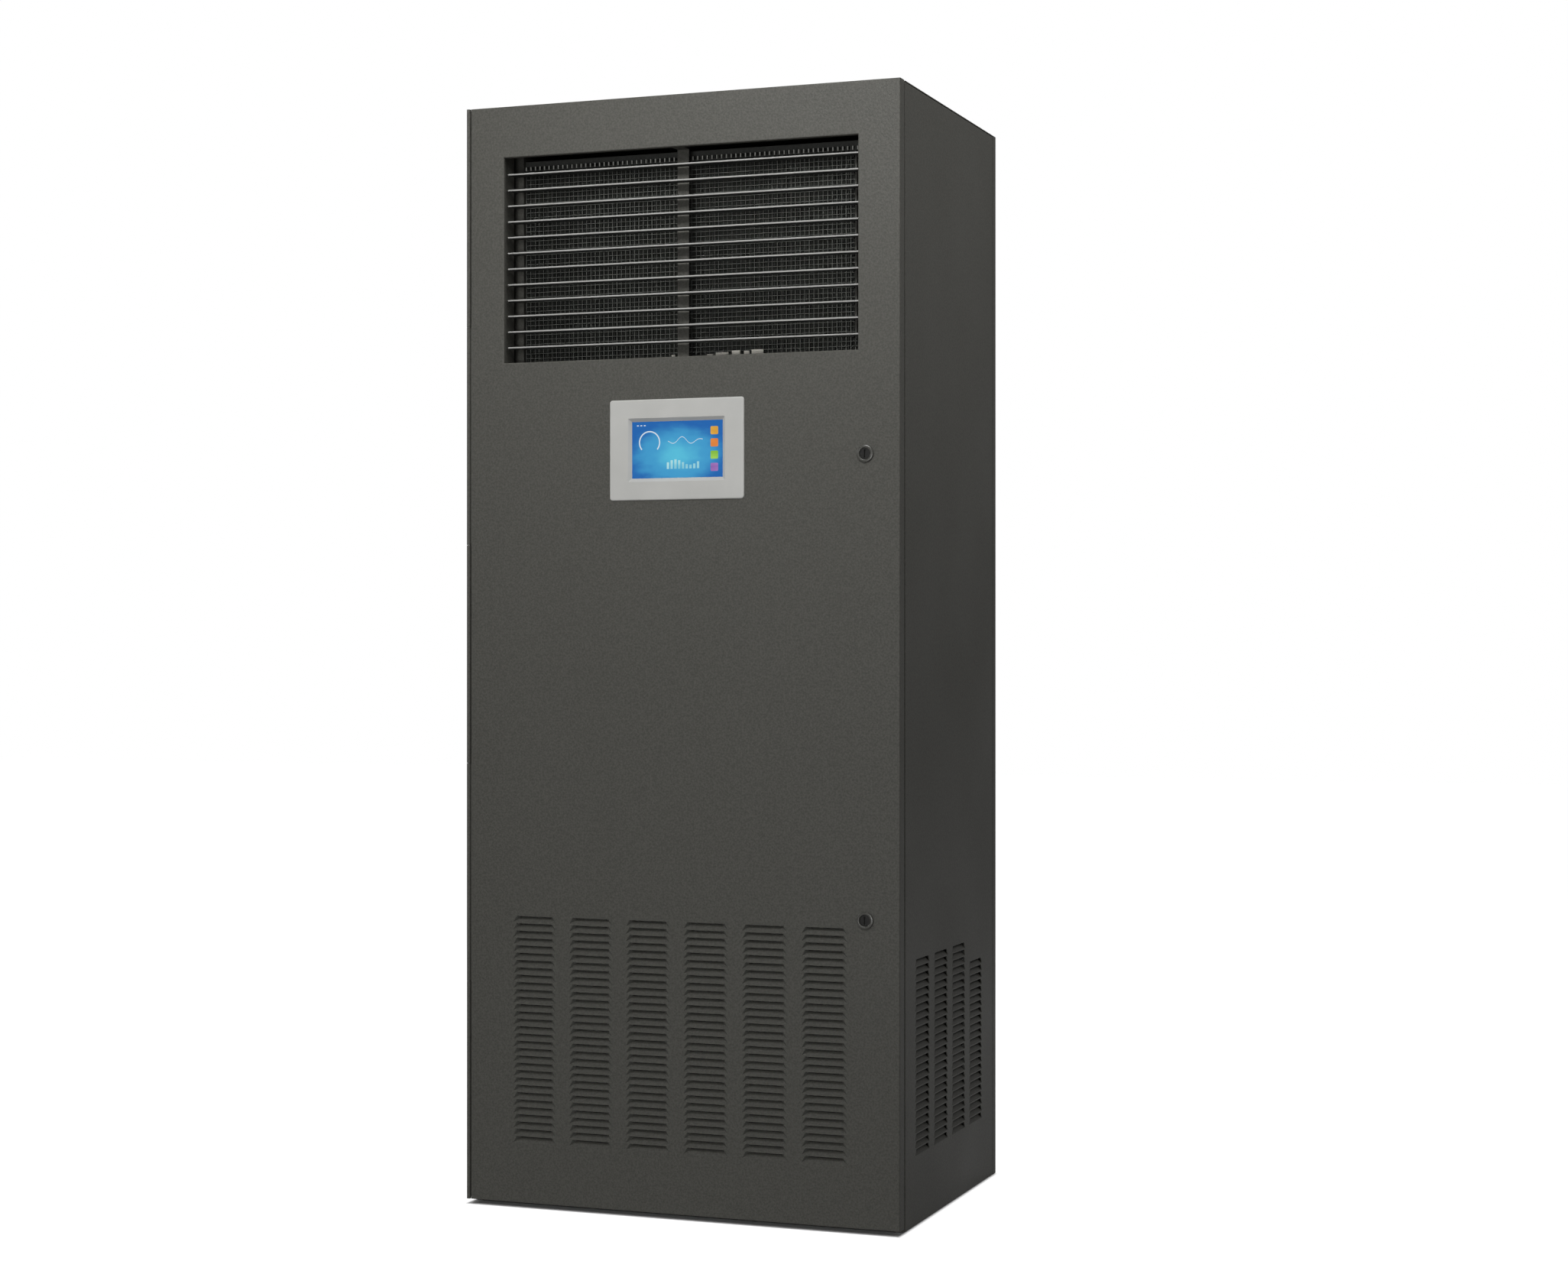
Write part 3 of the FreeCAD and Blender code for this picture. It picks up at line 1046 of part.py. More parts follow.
def build_coil():
    """Finned cooling coil with end plates and return bends, reheat rods, drain pan and drain pipe."""
    fins = new_body("evaporator_fins")
    half = "Size.coil_width / 2"
    high = f"{COIL_LOW} + Size.coil_height"
    pad_rectangle(fins, "XZ", COIL_FRONT, "Size.coil_depth", f"-{half}", half, COIL_LOW, high)
    packs = "floor(Size.coil_width / Size.fin_pitch)"
    first_x = f"-({packs} - 2) * Size.fin_pitch / 2 - Size.fin_slot / 2"
    slot = pocket_rectangle(fins, "XZ", COIL_FRONT, "Size.fin_slot_depth", first_x,
                            f"{first_x} + Size.fin_slot", COIL_LOW, high)
    repeat(fins, [slot], "X", "Size.fin_pitch", f"({packs} - 1)")

    plates = new_body("coil_end_plates")
    front = f"{COIL_FRONT} - Size.coil_plate_margin"
    rod_low = f"{COIL_LOW} + Size.coil_height / 2 - (Size.rod_count - 1) * Size.rod_pitch / 2"
    starts = (f"-{PLATE_X} - Size.coil_plate", PLATE_X)
    plate_low = "Size.pan_floor_z + Size.sheet"
    plate_high = f"{high} + Size.coil_plate_margin"
    for start in starts:
        pad_rectangle(plates, "YZ", start, "Size.coil_plate", front, PLATE_BACK, plate_low, plate_high)
    flange_end = f"({POST_INNER} - 2 * Size.fit_gap - Size.sheet)"
    for span in ((f"-{flange_end}", f"-{PLATE_X}"), (PLATE_X, flange_end)):
        pad_rectangle(plates, "XZ", front, "Size.coil_plate", *span, plate_low, plate_high)
    hole_radius = "Size.rod_radius + Size.run_gap"
    holes = [pocket_circle(plates, "YZ", start, "Size.coil_plate", ROD_Y, rod_low, hole_radius)
             for start in starts]
    repeat(plates, holes, "Z", "Size.rod_pitch", "Size.rod_count")

    bends = new_body("coil_bends")
    sketch = new_sketch(bends, "YZ")
    add_flats(sketch, "0", "Size.bend_radius", "Size.bend_tube", int(size("bend_sides")))
    bend = bends.newObject("PartDesign::Revolution", "Revolution")
    bend.Profile = sketch
    bend.ReferenceAxis = (sketch, ["H_Axis"])
    bend.Angle = 180
    repeat(bends, [bend], "Z", "Size.bend_pitch", "Size.bend_count")
    bend_low = f"{COIL_LOW} + Size.coil_height / 2 - (Size.bend_count - 1) * Size.bend_pitch / 2"
    place(bends, f"{PLATE_X} + Size.coil_plate", f"({COIL_FRONT} + {COIL_BACK}) / 2", bend_low)

    rods = new_body("reheat_rods")
    end = f"{PLATE_X} + Size.coil_plate"
    bar = pad_circle(rods, "YZ", f"-({end})", f"2 * ({end})", ROD_Y, rod_low, "Size.rod_radius")
    repeat(rods, [bar], "Z", "Size.rod_pitch", "Size.rod_count")

    tray = new_body("drain_pan")
    tray_half = f"({POST_INNER} - Size.fit_gap)"
    tray_front = f"({COIL_FRONT} - Size.pan_margin)"
    tray_back = f"({PLATE_BACK} + Size.pan_margin)"
    pan(tray, "XY", "Size.pan_floor_z", "Size.pan_height", f"-{tray_half}", tray_half, tray_front, tray_back,
        open_low=False)
    pocket_circle(tray, "XY", "Size.pan_floor_z", "Size.sheet", "Size.drain_x", ROD_Y,
                  "Size.drain_radius - Size.drain_wall")

    drain = new_body("drain_pipe")
    sketch = new_sketch(drain, "XY", "Size.base_wall")
    add_circle(sketch, "Size.drain_x", ROD_Y, "Size.drain_radius")
    add_circle(sketch, "Size.drain_x", ROD_Y, "Size.drain_radius - Size.drain_wall")
    pad(drain, sketch, "Size.pan_floor_z - Size.base_wall")


def build_electrics():
    """Electrical box with its cover, a row of contactors and the main switch knob."""
    box = new_body("electrical_box")
    outline = (BOX_LEFT, BOX_RIGHT, BOX_LOW, BOX_HIGH)
    pan(box, "XZ", f"{BOX_FRONT} + Size.sheet", "Size.box_depth", *outline, open_low=True)

    cover = new_body("electrical_cover")
    pad_rectangle(cover, "XZ", BOX_FRONT, "Size.sheet", *outline)
    pocket_circle(cover, "XZ", BOX_FRONT, "Size.sheet", SWITCH_X, SWITCH_Z,
                  "Size.switch_shaft_radius + Size.run_gap")

    contactors = new_body("contactors")
    back = f"({BOX_FRONT} + Size.box_depth)"
    front = f"({back} - Size.contactor_depth)"
    step = f"({front} + Size.contactor_step)"
    low = f"({BOX_LOW} + Size.contactor_lift)"
    high = f"({low} + Size.contactor_height)"
    sketch = new_sketch(contactors, "YZ", f"{BOX_LEFT} + Size.contactor_inset")
    add_polygon(sketch, [
        (back, low),
        (back, high),
        (step, high),
        (step, f"{high} - Size.contactor_step"),
        (front, f"{high} - Size.contactor_step"),
        (front, f"{low} + Size.contactor_step"),
        (step, f"{low} + Size.contactor_step"),
        (step, low),
    ])
    block = pad(contactors, sketch, "Size.contactor_width")
    repeat(contactors, [block], "X", "Size.contactor_pitch", "Size.contactor_count")

    knob = new_body("switch_knob")
    face = "-Size.switch_gap - Size.switch_knob_depth"
    pad_circle(knob, "XZ", face, "Size.switch_knob_depth", "0", "0", "Size.switch_knob_radius")
    pad_rectangle(knob, "XZ", f"{face} - Size.switch_grip_depth", "Size.switch_grip_depth",
                  "-Size.switch_grip_width / 2", "Size.switch_grip_width / 2",
                  "-Size.switch_knob_radius + Size.switch_gap", "Size.switch_knob_radius - Size.switch_gap")
    pad_circle(knob, "XZ", "-Size.switch_gap", "Size.switch_shaft_length", "0", "0",
               "Size.switch_shaft_radius")
    place(knob, SWITCH_X, BOX_FRONT, SWITCH_Z)


def build_refrigeration():
    """Compressor on rubber mounts, its pipework and the humidifier cylinder."""
    shell = new_body("compressor")
    shoulder = "Size.compressor_dome / 3"
    revolve(shell, "XZ", [
        ("0", "Size.foot_plate_thickness"),
        ("Size.compressor_radius - Size.compressor_dome / 2", "Size.foot_plate_thickness"),
        ("Size.compressor_radius", "Size.compressor_dome"),
        ("Size.compressor_radius", "Size.compressor_height - Size.compressor_dome"),
        (f"Size.compressor_radius - {shoulder}", f"Size.compressor_height - {shoulder}"),
        ("Size.compressor_cap", "Size.compressor_height"),
        ("0", "Size.compressor_height"),
    ])
    half_plate = "Size.foot_plate / 2"
    pad_rectangle(shell, "XY", "0", "Size.foot_plate_thickness", f"-{half_plate}", half_plate,
                  f"-{half_plate}", half_plate)
    place(shell, "Size.compressor_x", "Size.compressor_y", FOOT_Z)

    mounts = new_body("compressor_mounts")
    sketch = new_sketch(mounts, "XY", "Size.base_wall")
    inset = "(Size.foot_plate / 2 - Size.mount_inset)"
    for side in ("-", "+"):
        for end in ("-", "+"):
            add_circle(sketch, f"Size.compressor_x {side} {inset}", f"Size.compressor_y {end} {inset}",
                       "Size.mount_radius")
    pad(mounts, sketch, "Size.mount_height")

    tank = new_body("humidifier_tank")
    revolve(tank, "XZ", [
        ("0", "0"),
        ("Size.tank_radius", "0"),
        ("Size.tank_radius", "Size.tank_height - Size.tank_shoulder"),
        ("Size.tank_radius - Size.tank_shoulder", "Size.tank_height"),
        ("Size.tank_neck_radius", "Size.tank_height"),
        ("Size.tank_neck_radius", "Size.tank_height + Size.tank_neck"),
        ("0", "Size.tank_height + Size.tank_neck"),
    ])
    place(tank, "Size.tank_x", "Size.tank_y", "Size.base_wall")

    doc.recompute()
    coil_back = doc.getObject("evaporator_fins").Shape.BoundBox.YMax
    riser_y = doc.getObject("rear_panel").Shape.BoundBox.YMin - size("riser_setback")
    stub_end = size("cabinet_depth") / 2
    shell_top = shell.Shape.BoundBox.ZMax
    shell_y = size("compressor_y")
    bend = size("pipe_bend")

    x = size("compressor_x") + size("pipe_offset")
    run_z = shell_top + size("suction_rise")
    joint_z = size("suction_joint_z")
    bent_tube("suction_pipe", [
        Vector(x, shell_y, shell_top),
        Vector(x, shell_y, run_z),
        Vector(x, riser_y, run_z),
        Vector(x, riser_y, joint_z),
        Vector(x, coil_back, joint_z),
    ], size("suction_radius"), bend)

    x = size("compressor_x") - size("pipe_offset")
    run_z = shell_top + size("gas_rise")
    bent_tube("hot_gas_pipe", [
        Vector(x, shell_y, shell_top),
        Vector(x, shell_y, run_z),
        Vector(x, stub_end, run_z),
    ], size("gas_radius"), bend)

    x = size("liquid_x")
    joint_z = size("liquid_joint_z")
    bent_tube("liquid_pipe", [
        Vector(x, stub_end, size("liquid_stub_z")),
        Vector(x, riser_y, size("liquid_stub_z")),
        Vector(x, riser_y, joint_z),
        Vector(x, coil_back, joint_z),
    ], size("liquid_radius"), bend)


def build_filter():
    """Pleated air filter in its frame and the two rails it lifts out of."""
    frame = new_body("filter_frame")
    high = f"({FILTER_LOW} + Size.filter_height)"
    pad_ring(frame, "XZ", FILTER_FRONT, "Size.filter_depth", f"-{FILTER_HALF}", FILTER_HALF, FILTER_LOW, high,
             "Size.filter_rim")

    media = new_body("filter_media")
    half = f"({FILTER_HALF} - Size.filter_rim)"
    low = f"{FILTER_LOW} + Size.filter_rim"
    pad_rectangle(media, "XZ", f"{FILTER_FRONT} + Size.rail_sheet", "Size.filter_depth - 2 * Size.rail_sheet",
                  f"-{half}", half, low, f"{high} - Size.filter_rim")
    pitch = f"(2 * {half} / Size.filter_pleats)"
    sketch = new_sketch(media, "XY", low)
    face = f"({FILTER_FRONT} + Size.rail_sheet)"
    add_polygon(sketch, [
        (f"-{half} + 0.1 * {pitch}", face),
        (f"-{half} + 0.9 * {pitch}", face),
        (f"-{half} + 0.5 * {pitch}", f"{face} + Size.filter_pleat_depth"),
    ])
    groove = pocket(media, sketch, "Size.filter_height - 2 * Size.filter_rim")
    repeat(media, [groove], "X", pitch, "Size.filter_pleats")

    rails = new_body("filter_rails")
    outer_front = f"({FILTER_FRONT} - Size.fit_gap - Size.rail_sheet)"
    outer_back = f"({FILTER_BACK} + Size.fit_gap + Size.rail_sheet)"
    web = f"({RAIL_OUTER} - Size.rail_sheet)"
    lip = f"({web} - Size.rail_lip)"
    sketch = new_sketch(rails, "XY", "Size.base_height")
    for sign in ("-", ""):
        add_polygon(sketch, [
            (f"{sign}{RAIL_OUTER}", outer_front),
            (f"{sign}{RAIL_OUTER}", outer_back),
            (f"{sign}{lip}", outer_back),
            (f"{sign}{lip}", f"{outer_back} - Size.rail_sheet"),
            (f"{sign}{web}", f"{outer_back} - Size.rail_sheet"),
            (f"{sign}{web}", f"{outer_front} + Size.rail_sheet"),
            (f"{sign}{lip}", f"{outer_front} + Size.rail_sheet"),
            (f"{sign}{lip}", outer_front),
        ])
    pad(rails, sketch, "Size.rail_height")
    pad_ledges(rails, web, lip)


def pad_ledges(rails, web, lip):
    """Ledges across the rails that carry the filter's lower edge."""
    start = f"{FILTER_FRONT} - Size.fit_gap"
    depth = "Size.filter_depth + 2 * Size.fit_gap"
    ledge = f"{FILTER_LOW} - Size.rail_sheet"
    pad_rectangle(rails, "XZ", start, depth, f"-{web}", f"-{lip}", ledge, FILTER_LOW)
    pad_rectangle(rails, "XZ", start, depth, lip, web, ledge, FILTER_LOW)


def check_and_write():
    """Stop on any failed feature or bad solid, then write one file for each piece."""
    doc.recompute()
    failed = [item.Label for item in doc.Objects if {"Invalid", "Error"} & set(item.State)]
    if failed:
        raise RuntimeError(f"failed features: {failed}")
    for piece in parts:
        if piece.Shape.isNull() or not piece.Shape.isValid():
            raise RuntimeError(f"bad shape: {piece.Label}")
    os.makedirs("parts", exist_ok=True)
    for piece in parts:
        piece.Shape.exportStep(f"parts/{piece.Label}.step")


build_base()
build_posts()
build_panels()
build_door()
build_door_fittings()
build_display()
build_locks()
build_hinge()
build_grille()
build_fan()
build_coil()
build_electrics()
build_refrigeration()
build_filter()
check_and_write()
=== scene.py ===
"""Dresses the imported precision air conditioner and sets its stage."""
import json
import math

import bmesh
import bpy
import numpy as np
from bpy.props import FloatProperty, FloatVectorProperty, IntProperty, PointerProperty
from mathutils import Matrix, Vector


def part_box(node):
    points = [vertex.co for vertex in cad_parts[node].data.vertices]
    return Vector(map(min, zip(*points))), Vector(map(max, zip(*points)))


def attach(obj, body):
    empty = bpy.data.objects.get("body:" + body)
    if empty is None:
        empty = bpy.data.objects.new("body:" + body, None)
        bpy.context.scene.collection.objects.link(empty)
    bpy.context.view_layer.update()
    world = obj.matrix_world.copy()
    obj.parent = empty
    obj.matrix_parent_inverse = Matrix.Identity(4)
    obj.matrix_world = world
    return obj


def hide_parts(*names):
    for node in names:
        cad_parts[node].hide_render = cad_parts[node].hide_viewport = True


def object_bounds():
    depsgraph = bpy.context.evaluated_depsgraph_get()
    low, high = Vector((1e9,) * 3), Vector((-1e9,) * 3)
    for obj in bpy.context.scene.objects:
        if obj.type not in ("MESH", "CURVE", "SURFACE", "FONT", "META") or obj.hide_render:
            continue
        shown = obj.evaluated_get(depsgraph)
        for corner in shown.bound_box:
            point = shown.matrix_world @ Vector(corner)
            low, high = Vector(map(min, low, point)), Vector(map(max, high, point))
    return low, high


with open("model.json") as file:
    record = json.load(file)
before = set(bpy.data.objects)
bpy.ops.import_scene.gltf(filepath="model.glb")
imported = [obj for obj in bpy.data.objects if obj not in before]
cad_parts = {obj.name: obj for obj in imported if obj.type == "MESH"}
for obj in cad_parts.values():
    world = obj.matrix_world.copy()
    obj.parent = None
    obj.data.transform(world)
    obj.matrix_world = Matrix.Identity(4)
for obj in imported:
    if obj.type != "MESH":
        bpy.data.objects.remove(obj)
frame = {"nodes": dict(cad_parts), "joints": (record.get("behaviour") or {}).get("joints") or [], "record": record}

CAD_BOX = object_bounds()
NODES = frame["nodes"]
BODY_OF = {node: body for body, nodes in frame["record"]["behaviour"]["bodies"].items() for node in nodes}
PIVOTS = {joint["child"]: Vector(joint["pos_m"]) for joint in frame["joints"] if joint["type"] == "hinge"}
BLADES = sorted(node for node in NODES if node.startswith("outlet_blade_"))
LOCKS = ("upper_lock", "lower_lock")

# Finish values: spans that a factor crosses, and the screen's colours from its glow outwards
NOISE_SPAN = (0.3, 0.7)
FULL_SPAN = (0.0, 1.0)
SCREEN_STOPS = ((0.15, (0.095, 0.5, 0.68)), (0.62, (0.05, 0.31, 0.57)), (1.0, (0.014, 0.12, 0.4)))

# Mesh values: distances in metres under which points are joined, and the angle in radians of a sharp edge
SEAM_GAP = 0.00002
MERGE_GAP = 1e-7
CREASE_ANGLE = 0.6

# Blade values: where the painted highlight along the nose fades, as shares of its diameter, and the play beside
# the tie bar
NOSE_HIGHLIGHT_FADE = (0.3, 0.9)
PIN_GAP = 0.0004

# Display values: seat of the glass, faces of the lit marks from the glass, and colours of the marks
SPIGOT_INSET = 0.0203
GLASS_GAP = 0.0001
MARK_FRONT = -0.00012
MARK_BACK = 0.0002
TILES = (
    ("tile_amber", (0.72, 0.32, 0.02), (0.95, 0.55, 0.08)),
    ("tile_orange", (0.7, 0.13, 0.02), (0.92, 0.3, 0.05)),
    ("tile_green", (0.2, 0.5, 0.03), (0.42, 0.75, 0.1)),
    ("tile_violet", (0.26, 0.1, 0.42), (0.48, 0.24, 0.62)),
)
BAR_CYAN = (0.2, 0.6, 0.75)
BAR_PALE = (0.5, 0.85, 0.9)

# Lock values: radii, the profile of the ring as (distance from bore or rim, depth), core and cam
LOCK_BORE = 0.00906
LOCK_NECK = 0.0115
LOCK_RIM = 0.014
LOCK_LIP = ((0.0, 0.0009), (0.0006, 0.0003), (0.0014, 0.0))
LOCK_SHOULDER = ((0.0018, 0.0), (0.0007, 0.0005), (0.0001, 0.0014), (0.0, 0.0022))
CORE_RADIUS = 0.009
SLOT_DEPTH = 0.0024
CAM_SHEET = 0.003
CAM_CORNER = 0.004

# Trim values: comb on the coil, tabs on the pan as (place, width, rise), louvre cheeks and filter pleats
COMB_SHEET = 0.0012
TOOTH_SIZE = (0.0016, COMB_SHEET, 0.0065)
TOOTH_DROP = 0.006
TAB_SHEET = 0.0012
TAB_LAP = 0.004
PAN_TABS = ((-0.032, 0.006, 0.003), (0.03, 0.01, 0.002), (0.045, 0.022, 0.004),
            (0.073, 0.014, 0.006), (0.094, 0.009, 0.005), (0.107, 0.02, 0.0065))
CHEEK_INSET = 0.0001
PLEAT_STEPS = 8
PLEAT_PEAK = 0.985
MEDIA_SHEET = 0.0012

# Stage values: floor and world, lamps as (name, place, target, size, watts, spread), camera in mm and metres
FLOOR_GREY = 0.75
FLOOR_GLOW = 0.93
FLOOR_REACH = 14
FLOOR_DROP = 0.001
SHADE_EDGE = 0.004
GLOSSY_SHARE = 0.18
WORLD_LIGHT = 0.08
WHITE = (1, 1, 1, 1)
LAMPS = (
    ("top_softbox", (0.1, -2.2, 2.9), (0.1, -0.1, 1.95), (1.0, 0.9), 12.8, 80),
    ("left_softbox", (-3.4, -2.2, 2.2), (0, -0.2, 0.1), (1.4, 1.4), 9, 90),
    ("front_softbox", (0.6, -4.6, 0.6), (0, 0, 0.3), (1.8, 1.4), 18, 100),
    ("side_softbox", (2.0, -0.4, 3.0), (0.35, 0, 1.9), (1.2, 1.2), 5, 60),
    ("back_softbox", (-2.2, 3.8, 2.4), (0, 0.2, 0.9), (1.8, 1.6), 22, 100),
    ("low_softbox", (2.8, -0.8, 2.2), (0.35, 0, 0.1), (1.2, 1.2), 0.8, 70),
)
LENS = 63.01
SENSOR_WIDTH = 36
CAMERA_PLACE = (1.6818, -4.3321, 0.9231)
CAMERA_TURN = 20.26

bl_info = {
    "name": "Precision air conditioner",
    "version": (1, 0, 0),
    "blender": (4, 5, 0),
    "location": "View3D > Sidebar > Cooling",
    "description": "Builds the looks of a floor-standing precision air conditioner round its packed frame",
    "category": "Object",
}


def shade(name, description, default):
    """A colour that a user may change."""
    return FloatVectorProperty(
        name=name, description=description, default=default, subtype="COLOR", min=0, max=1)


def length(name, description, default):
    """A length in metres that a user may change."""
    return FloatProperty(name=name, description=description, default=default, unit="LENGTH", min=0)


def number(name, description, default):
    """A whole number, two or more, that a user may change."""
    return IntProperty(name=name, description=description, default=default, min=2)


class CoolingColours(bpy.types.PropertyGroup):
    """Colours of the finishes."""

    coat: shade("Coat", "Dark textured powder coat of the cabinet", (0.064, 0.063, 0.055))
    blade: shade("Blades", "Paint of the outlet blades", (0.03, 0.03, 0.029))
    # The nose colour is a painted highlight along the rolled edge of the blades.
    nose: shade("Blade nose", "Bright rolled edge of the outlet blades", (0.32, 0.32, 0.308))
    base: shade("Base", "Paint of the base tray", (0.012, 0.012, 0.012))
    zinc: shade("Zinc", "Galvanised sheet", (0.42, 0.43, 0.44))
    steel: shade("Steel", "Bright plated steel", (0.55, 0.55, 0.54))
    fin: shade("Fins", "Coated coil fins", (0.165, 0.171, 0.155))
    # The comb teeth are pale as a painted highlight, so they read as light dots in the shaded top of the outlet.
    comb: shade("Comb teeth", "Pale teeth of the fin comb", (0.75, 0.75, 0.7))
    # The pale tab colour is a painted highlight standing in for glints on the tabs.
    tab: shade("Pan tabs", "Pale tabs on the drain pan", (0.85, 0.82, 0.73))
    alloy: shade("Alloy", "Bare aluminium", (0.58, 0.59, 0.6))
    copper: shade("Copper", "Copper pipe", (0.62, 0.27, 0.16))
    machine: shade("Machine", "Black machine paint", (0.02, 0.021, 0.023))
    plastic: shade("Plastic", "Black moulded plastic", (0.03, 0.03, 0.031))
    bezel: shade("Bezel", "Light grey display bezel", (0.42, 0.42, 0.403))
    mark: shade("Screen marks", "White marks on the screen", (0.75, 0.85, 0.95))
    rubber: shade("Rubber", "Seals and mounts", (0.018, 0.018, 0.018))
    media: shade("Filter media", "Stiff pleated filter media", (0.66, 0.67, 0.63))
    pale: shade("Pale plastic", "Humidifier cylinder and drain pipe", (0.62, 0.62, 0.57))


class CoolingSizes(bpy.types.PropertyGroup):
    """Sizes of the dressed pieces."""

    blade_depth: length("Blade depth", "Front to back depth of an outlet blade", 0.024)
    blade_sheet: length("Blade sheet", "Thickness of the blade sheet", 0.0016)
    blade_nose: length("Blade nose", "Diameter of the rolled front edge", 0.0028)
    blade_end: length("Blade end", "Blade end from the middle of the opening", 0.3045)
    tang_width: length("Tang width", "Width of the pivot tangs", 0.0032)
    crank_radius: length("Crank radius", "Crank pin behind the blade pivot", 0.018)
    crank_side: length("Crank side", "Side of the square crank pin", 0.0026)
    tab_sheet: length("Tab sheet", "Thickness of the crank tab", 0.003)
    pin_length: length("Pin length", "Length of the crank pin", 0.0038)
    bezel_corner: length("Bezel corner", "Corner radius of the display bezel", 0.005)
    bezel_round: length("Bezel round", "Rounding of the bezel rim", 0.0024)
    window_slope: length("Window slope", "Width of the sloping border round the screen", 0.005)
    window_width: length("Window width", "Visible screen width", 0.1568)
    window_height: length("Window height", "Visible screen height", 0.091)
    fin_pitch: length("Fin pitch", "Spacing of the coil fins", 0.0026)
    fin_sheet: length("Fin sheet", "Thickness of a coil fin", 0.0003)
    guard_pitch: length("Guard pitch", "Mesh size of the wire guard on the coil", 0.0078)
    guard_wire: length("Guard wire", "Thickness of the guard wires", 0.0008)
    comb_pitch: length("Comb pitch", "Spacing of the teeth of the fin comb", 0.0083)
    comb_drop: length("Comb drop", "Fin comb below the top of the coil", 0.0085)
    bend_pitch: length("Bend pitch", "Spacing of the return bends of the coil", 0.066)
    bend_tube: length("Bend tube", "Tube radius of the return bends", 0.004)
    louvre_width: length("Louvre width", "Width of a louvre at its fold", 0.076)
    louvre_cut: length("Louvre cut", "Height of the louvre cut", 0.01)
    louvre_corner: length("Louvre corner", "Sloping end of the louvre cut", 0.006)
    louvre_top: length("Louvre top", "Top of the highest louvre cut", 0.475)
    louvre_columns: number("Louvre columns", "Columns of louvres in the door", 6)
    louvre_rows: number("Louvre rows", "Louvres in a column of the door", 31)
    louvre_lean: length("Louvre lean", "Free edge of a louvre behind the sheet", 0.006)
    cheek_slope: length("Cheek slope", "Slope of a louvre cheek across the flap", 0.005)
    cheek_sheet: length("Cheek sheet", "Thickness of a louvre cheek", 0.001)
    louvre_pitch: length("Louvre pitch", "Spacing of the louvres up a column", 0.012)
    column_pitch: length("Column pitch", "Spacing of the louvre columns", 0.1003)
    pleat_count: number("Pleats", "Folds across the filter media", 66)


def looks():
    """Colours and sizes held by the scene."""
    scene = bpy.context.scene
    return scene.cooling_colours, scene.cooling_sizes


# Surfaces


def ring_quads(rings, count):
    """Corner numbers of the quads between neighbouring rings of count points, each ring closed on itself."""
    ring, place = np.meshgrid(np.arange(rings - 1), np.arange(count), indexing="ij")
    near = ring * count
    far = near + count
    following = (place + 1) % count
    quads = np.stack([near + place, near + following, far + following, far + place], axis=-1)
    return quads.reshape(-1, 4)


def turned(profile, centre, segments=64):
    """Surface of revolution about Y: radius r and depth y at angle a give the point r cos a, y, r sin a."""
    profile = np.asarray(profile, float)
    angle = np.linspace(0, 2 * math.pi, segments, endpoint=False)
    radius = profile[:, 0, None]
    depth = np.repeat(profile[:, 1, None], segments, axis=1)
    points = np.stack([radius * np.cos(angle), depth, radius * np.sin(angle)], axis=-1).reshape(-1, 3)
    return points + centre, ring_quads(len(profile), segments)


def extruded(outline, start, end):
    """Closed outline of (y, z) points carried along X from start to end, with both ends closed."""
    count = len(outline)
    rings = [np.column_stack([np.full(count, x), outline]) for x in (start, end)]
    faces = ring_quads(2, count).tolist()
    faces += [list(range(count)), list(range(2 * count - 1, count - 1, -1))]
    return np.vstack(rings), faces


def ribbon(edge, other_edge, levels, axis):
    """Closed band: out along one flat line of points and back along the other, at two levels of an axis."""
    outline = np.vstack([edge, other_edge[::-1]])
    count = len(outline)
    layers = [np.insert(outline, axis, level, axis=1) for level in levels]
    out = np.arange(len(edge) - 1)
    cap = np.column_stack([out, out + 1, count - 2 - out, count - 1 - out])
    return np.vstack(layers), np.vstack([ring_quads(2, count), cap, cap + count])


def blocks(low, high):
    """Upright boxes between arrays of lowest and highest corners."""
    low = np.atleast_2d(low)
    high = np.atleast_2d(high)
    pick = np.array([(i, j, k) for i in (0, 1) for j in (0, 1) for k in (0, 1)])
    points = np.where(pick[None] == 1, high[:, None], low[:, None]).reshape(-1, 3)
    faces = np.array([(0, 1, 3, 2), (4, 6, 7, 5), (0, 4, 5, 1), (2, 3, 7, 6), (0, 2, 6, 4), (1, 5, 7, 3)])
    return points, (faces[None] + len(pick) * np.arange(len(low))[:, None, None]).reshape(-1, 4)


def corners(x, y, z):
    """Points from arrays or single numbers, one column for each axis."""
    return np.column_stack(np.broadcast_arrays(x, y, z))


def rounded_loop(half_width, half_height, radius, steps=10):
    """Rounded rectangle as (x, z) points: four quarter circles of one radius, joined by straight sides."""
    turn = np.linspace(0, math.pi / 2, steps)
    angle = (turn + np.arange(4)[:, None] * math.pi / 2).ravel()
    signs = np.repeat(np.array([(1, 1), (-1, 1), (-1, -1), (1, -1)]), steps, axis=0)
    middle = signs * np.array([half_width - radius, half_height - radius])
    return middle + radius * np.column_stack([np.cos(angle), np.sin(angle)])


def framed(rings, centre):
    """Skin over a list of (loop, depth) rings round one centre, each loop being (x, z) points at depth y."""
    layers = [np.column_stack([loop[:, 0], np.full(len(loop), depth), loop[:, 1]]) for loop, depth in rings]
    faces = ring_quads(len(rings), len(rings[0][0]))
    return np.vstack(layers) + centre, faces


def plate(loop, start, end, centre):
    """Flat closed plate of one (x, z) loop between two depths; each end closes on the loop's own middle."""
    hub = np.broadcast_to((loop.min(axis=0) + loop.max(axis=0)) / 2, loop.shape)
    return framed([(hub, start), (loop, start), (loop, end), (hub, end)], centre)


def joined(*surfaces):
    """Several surfaces as one."""
    points = []
    faces = []
    shift = 0
    for part_points, part_faces in surfaces:
        points.append(part_points)
        faces += [[corner + shift for corner in face] for face in part_faces]
        shift += len(part_points)
    return np.vstack(points), faces


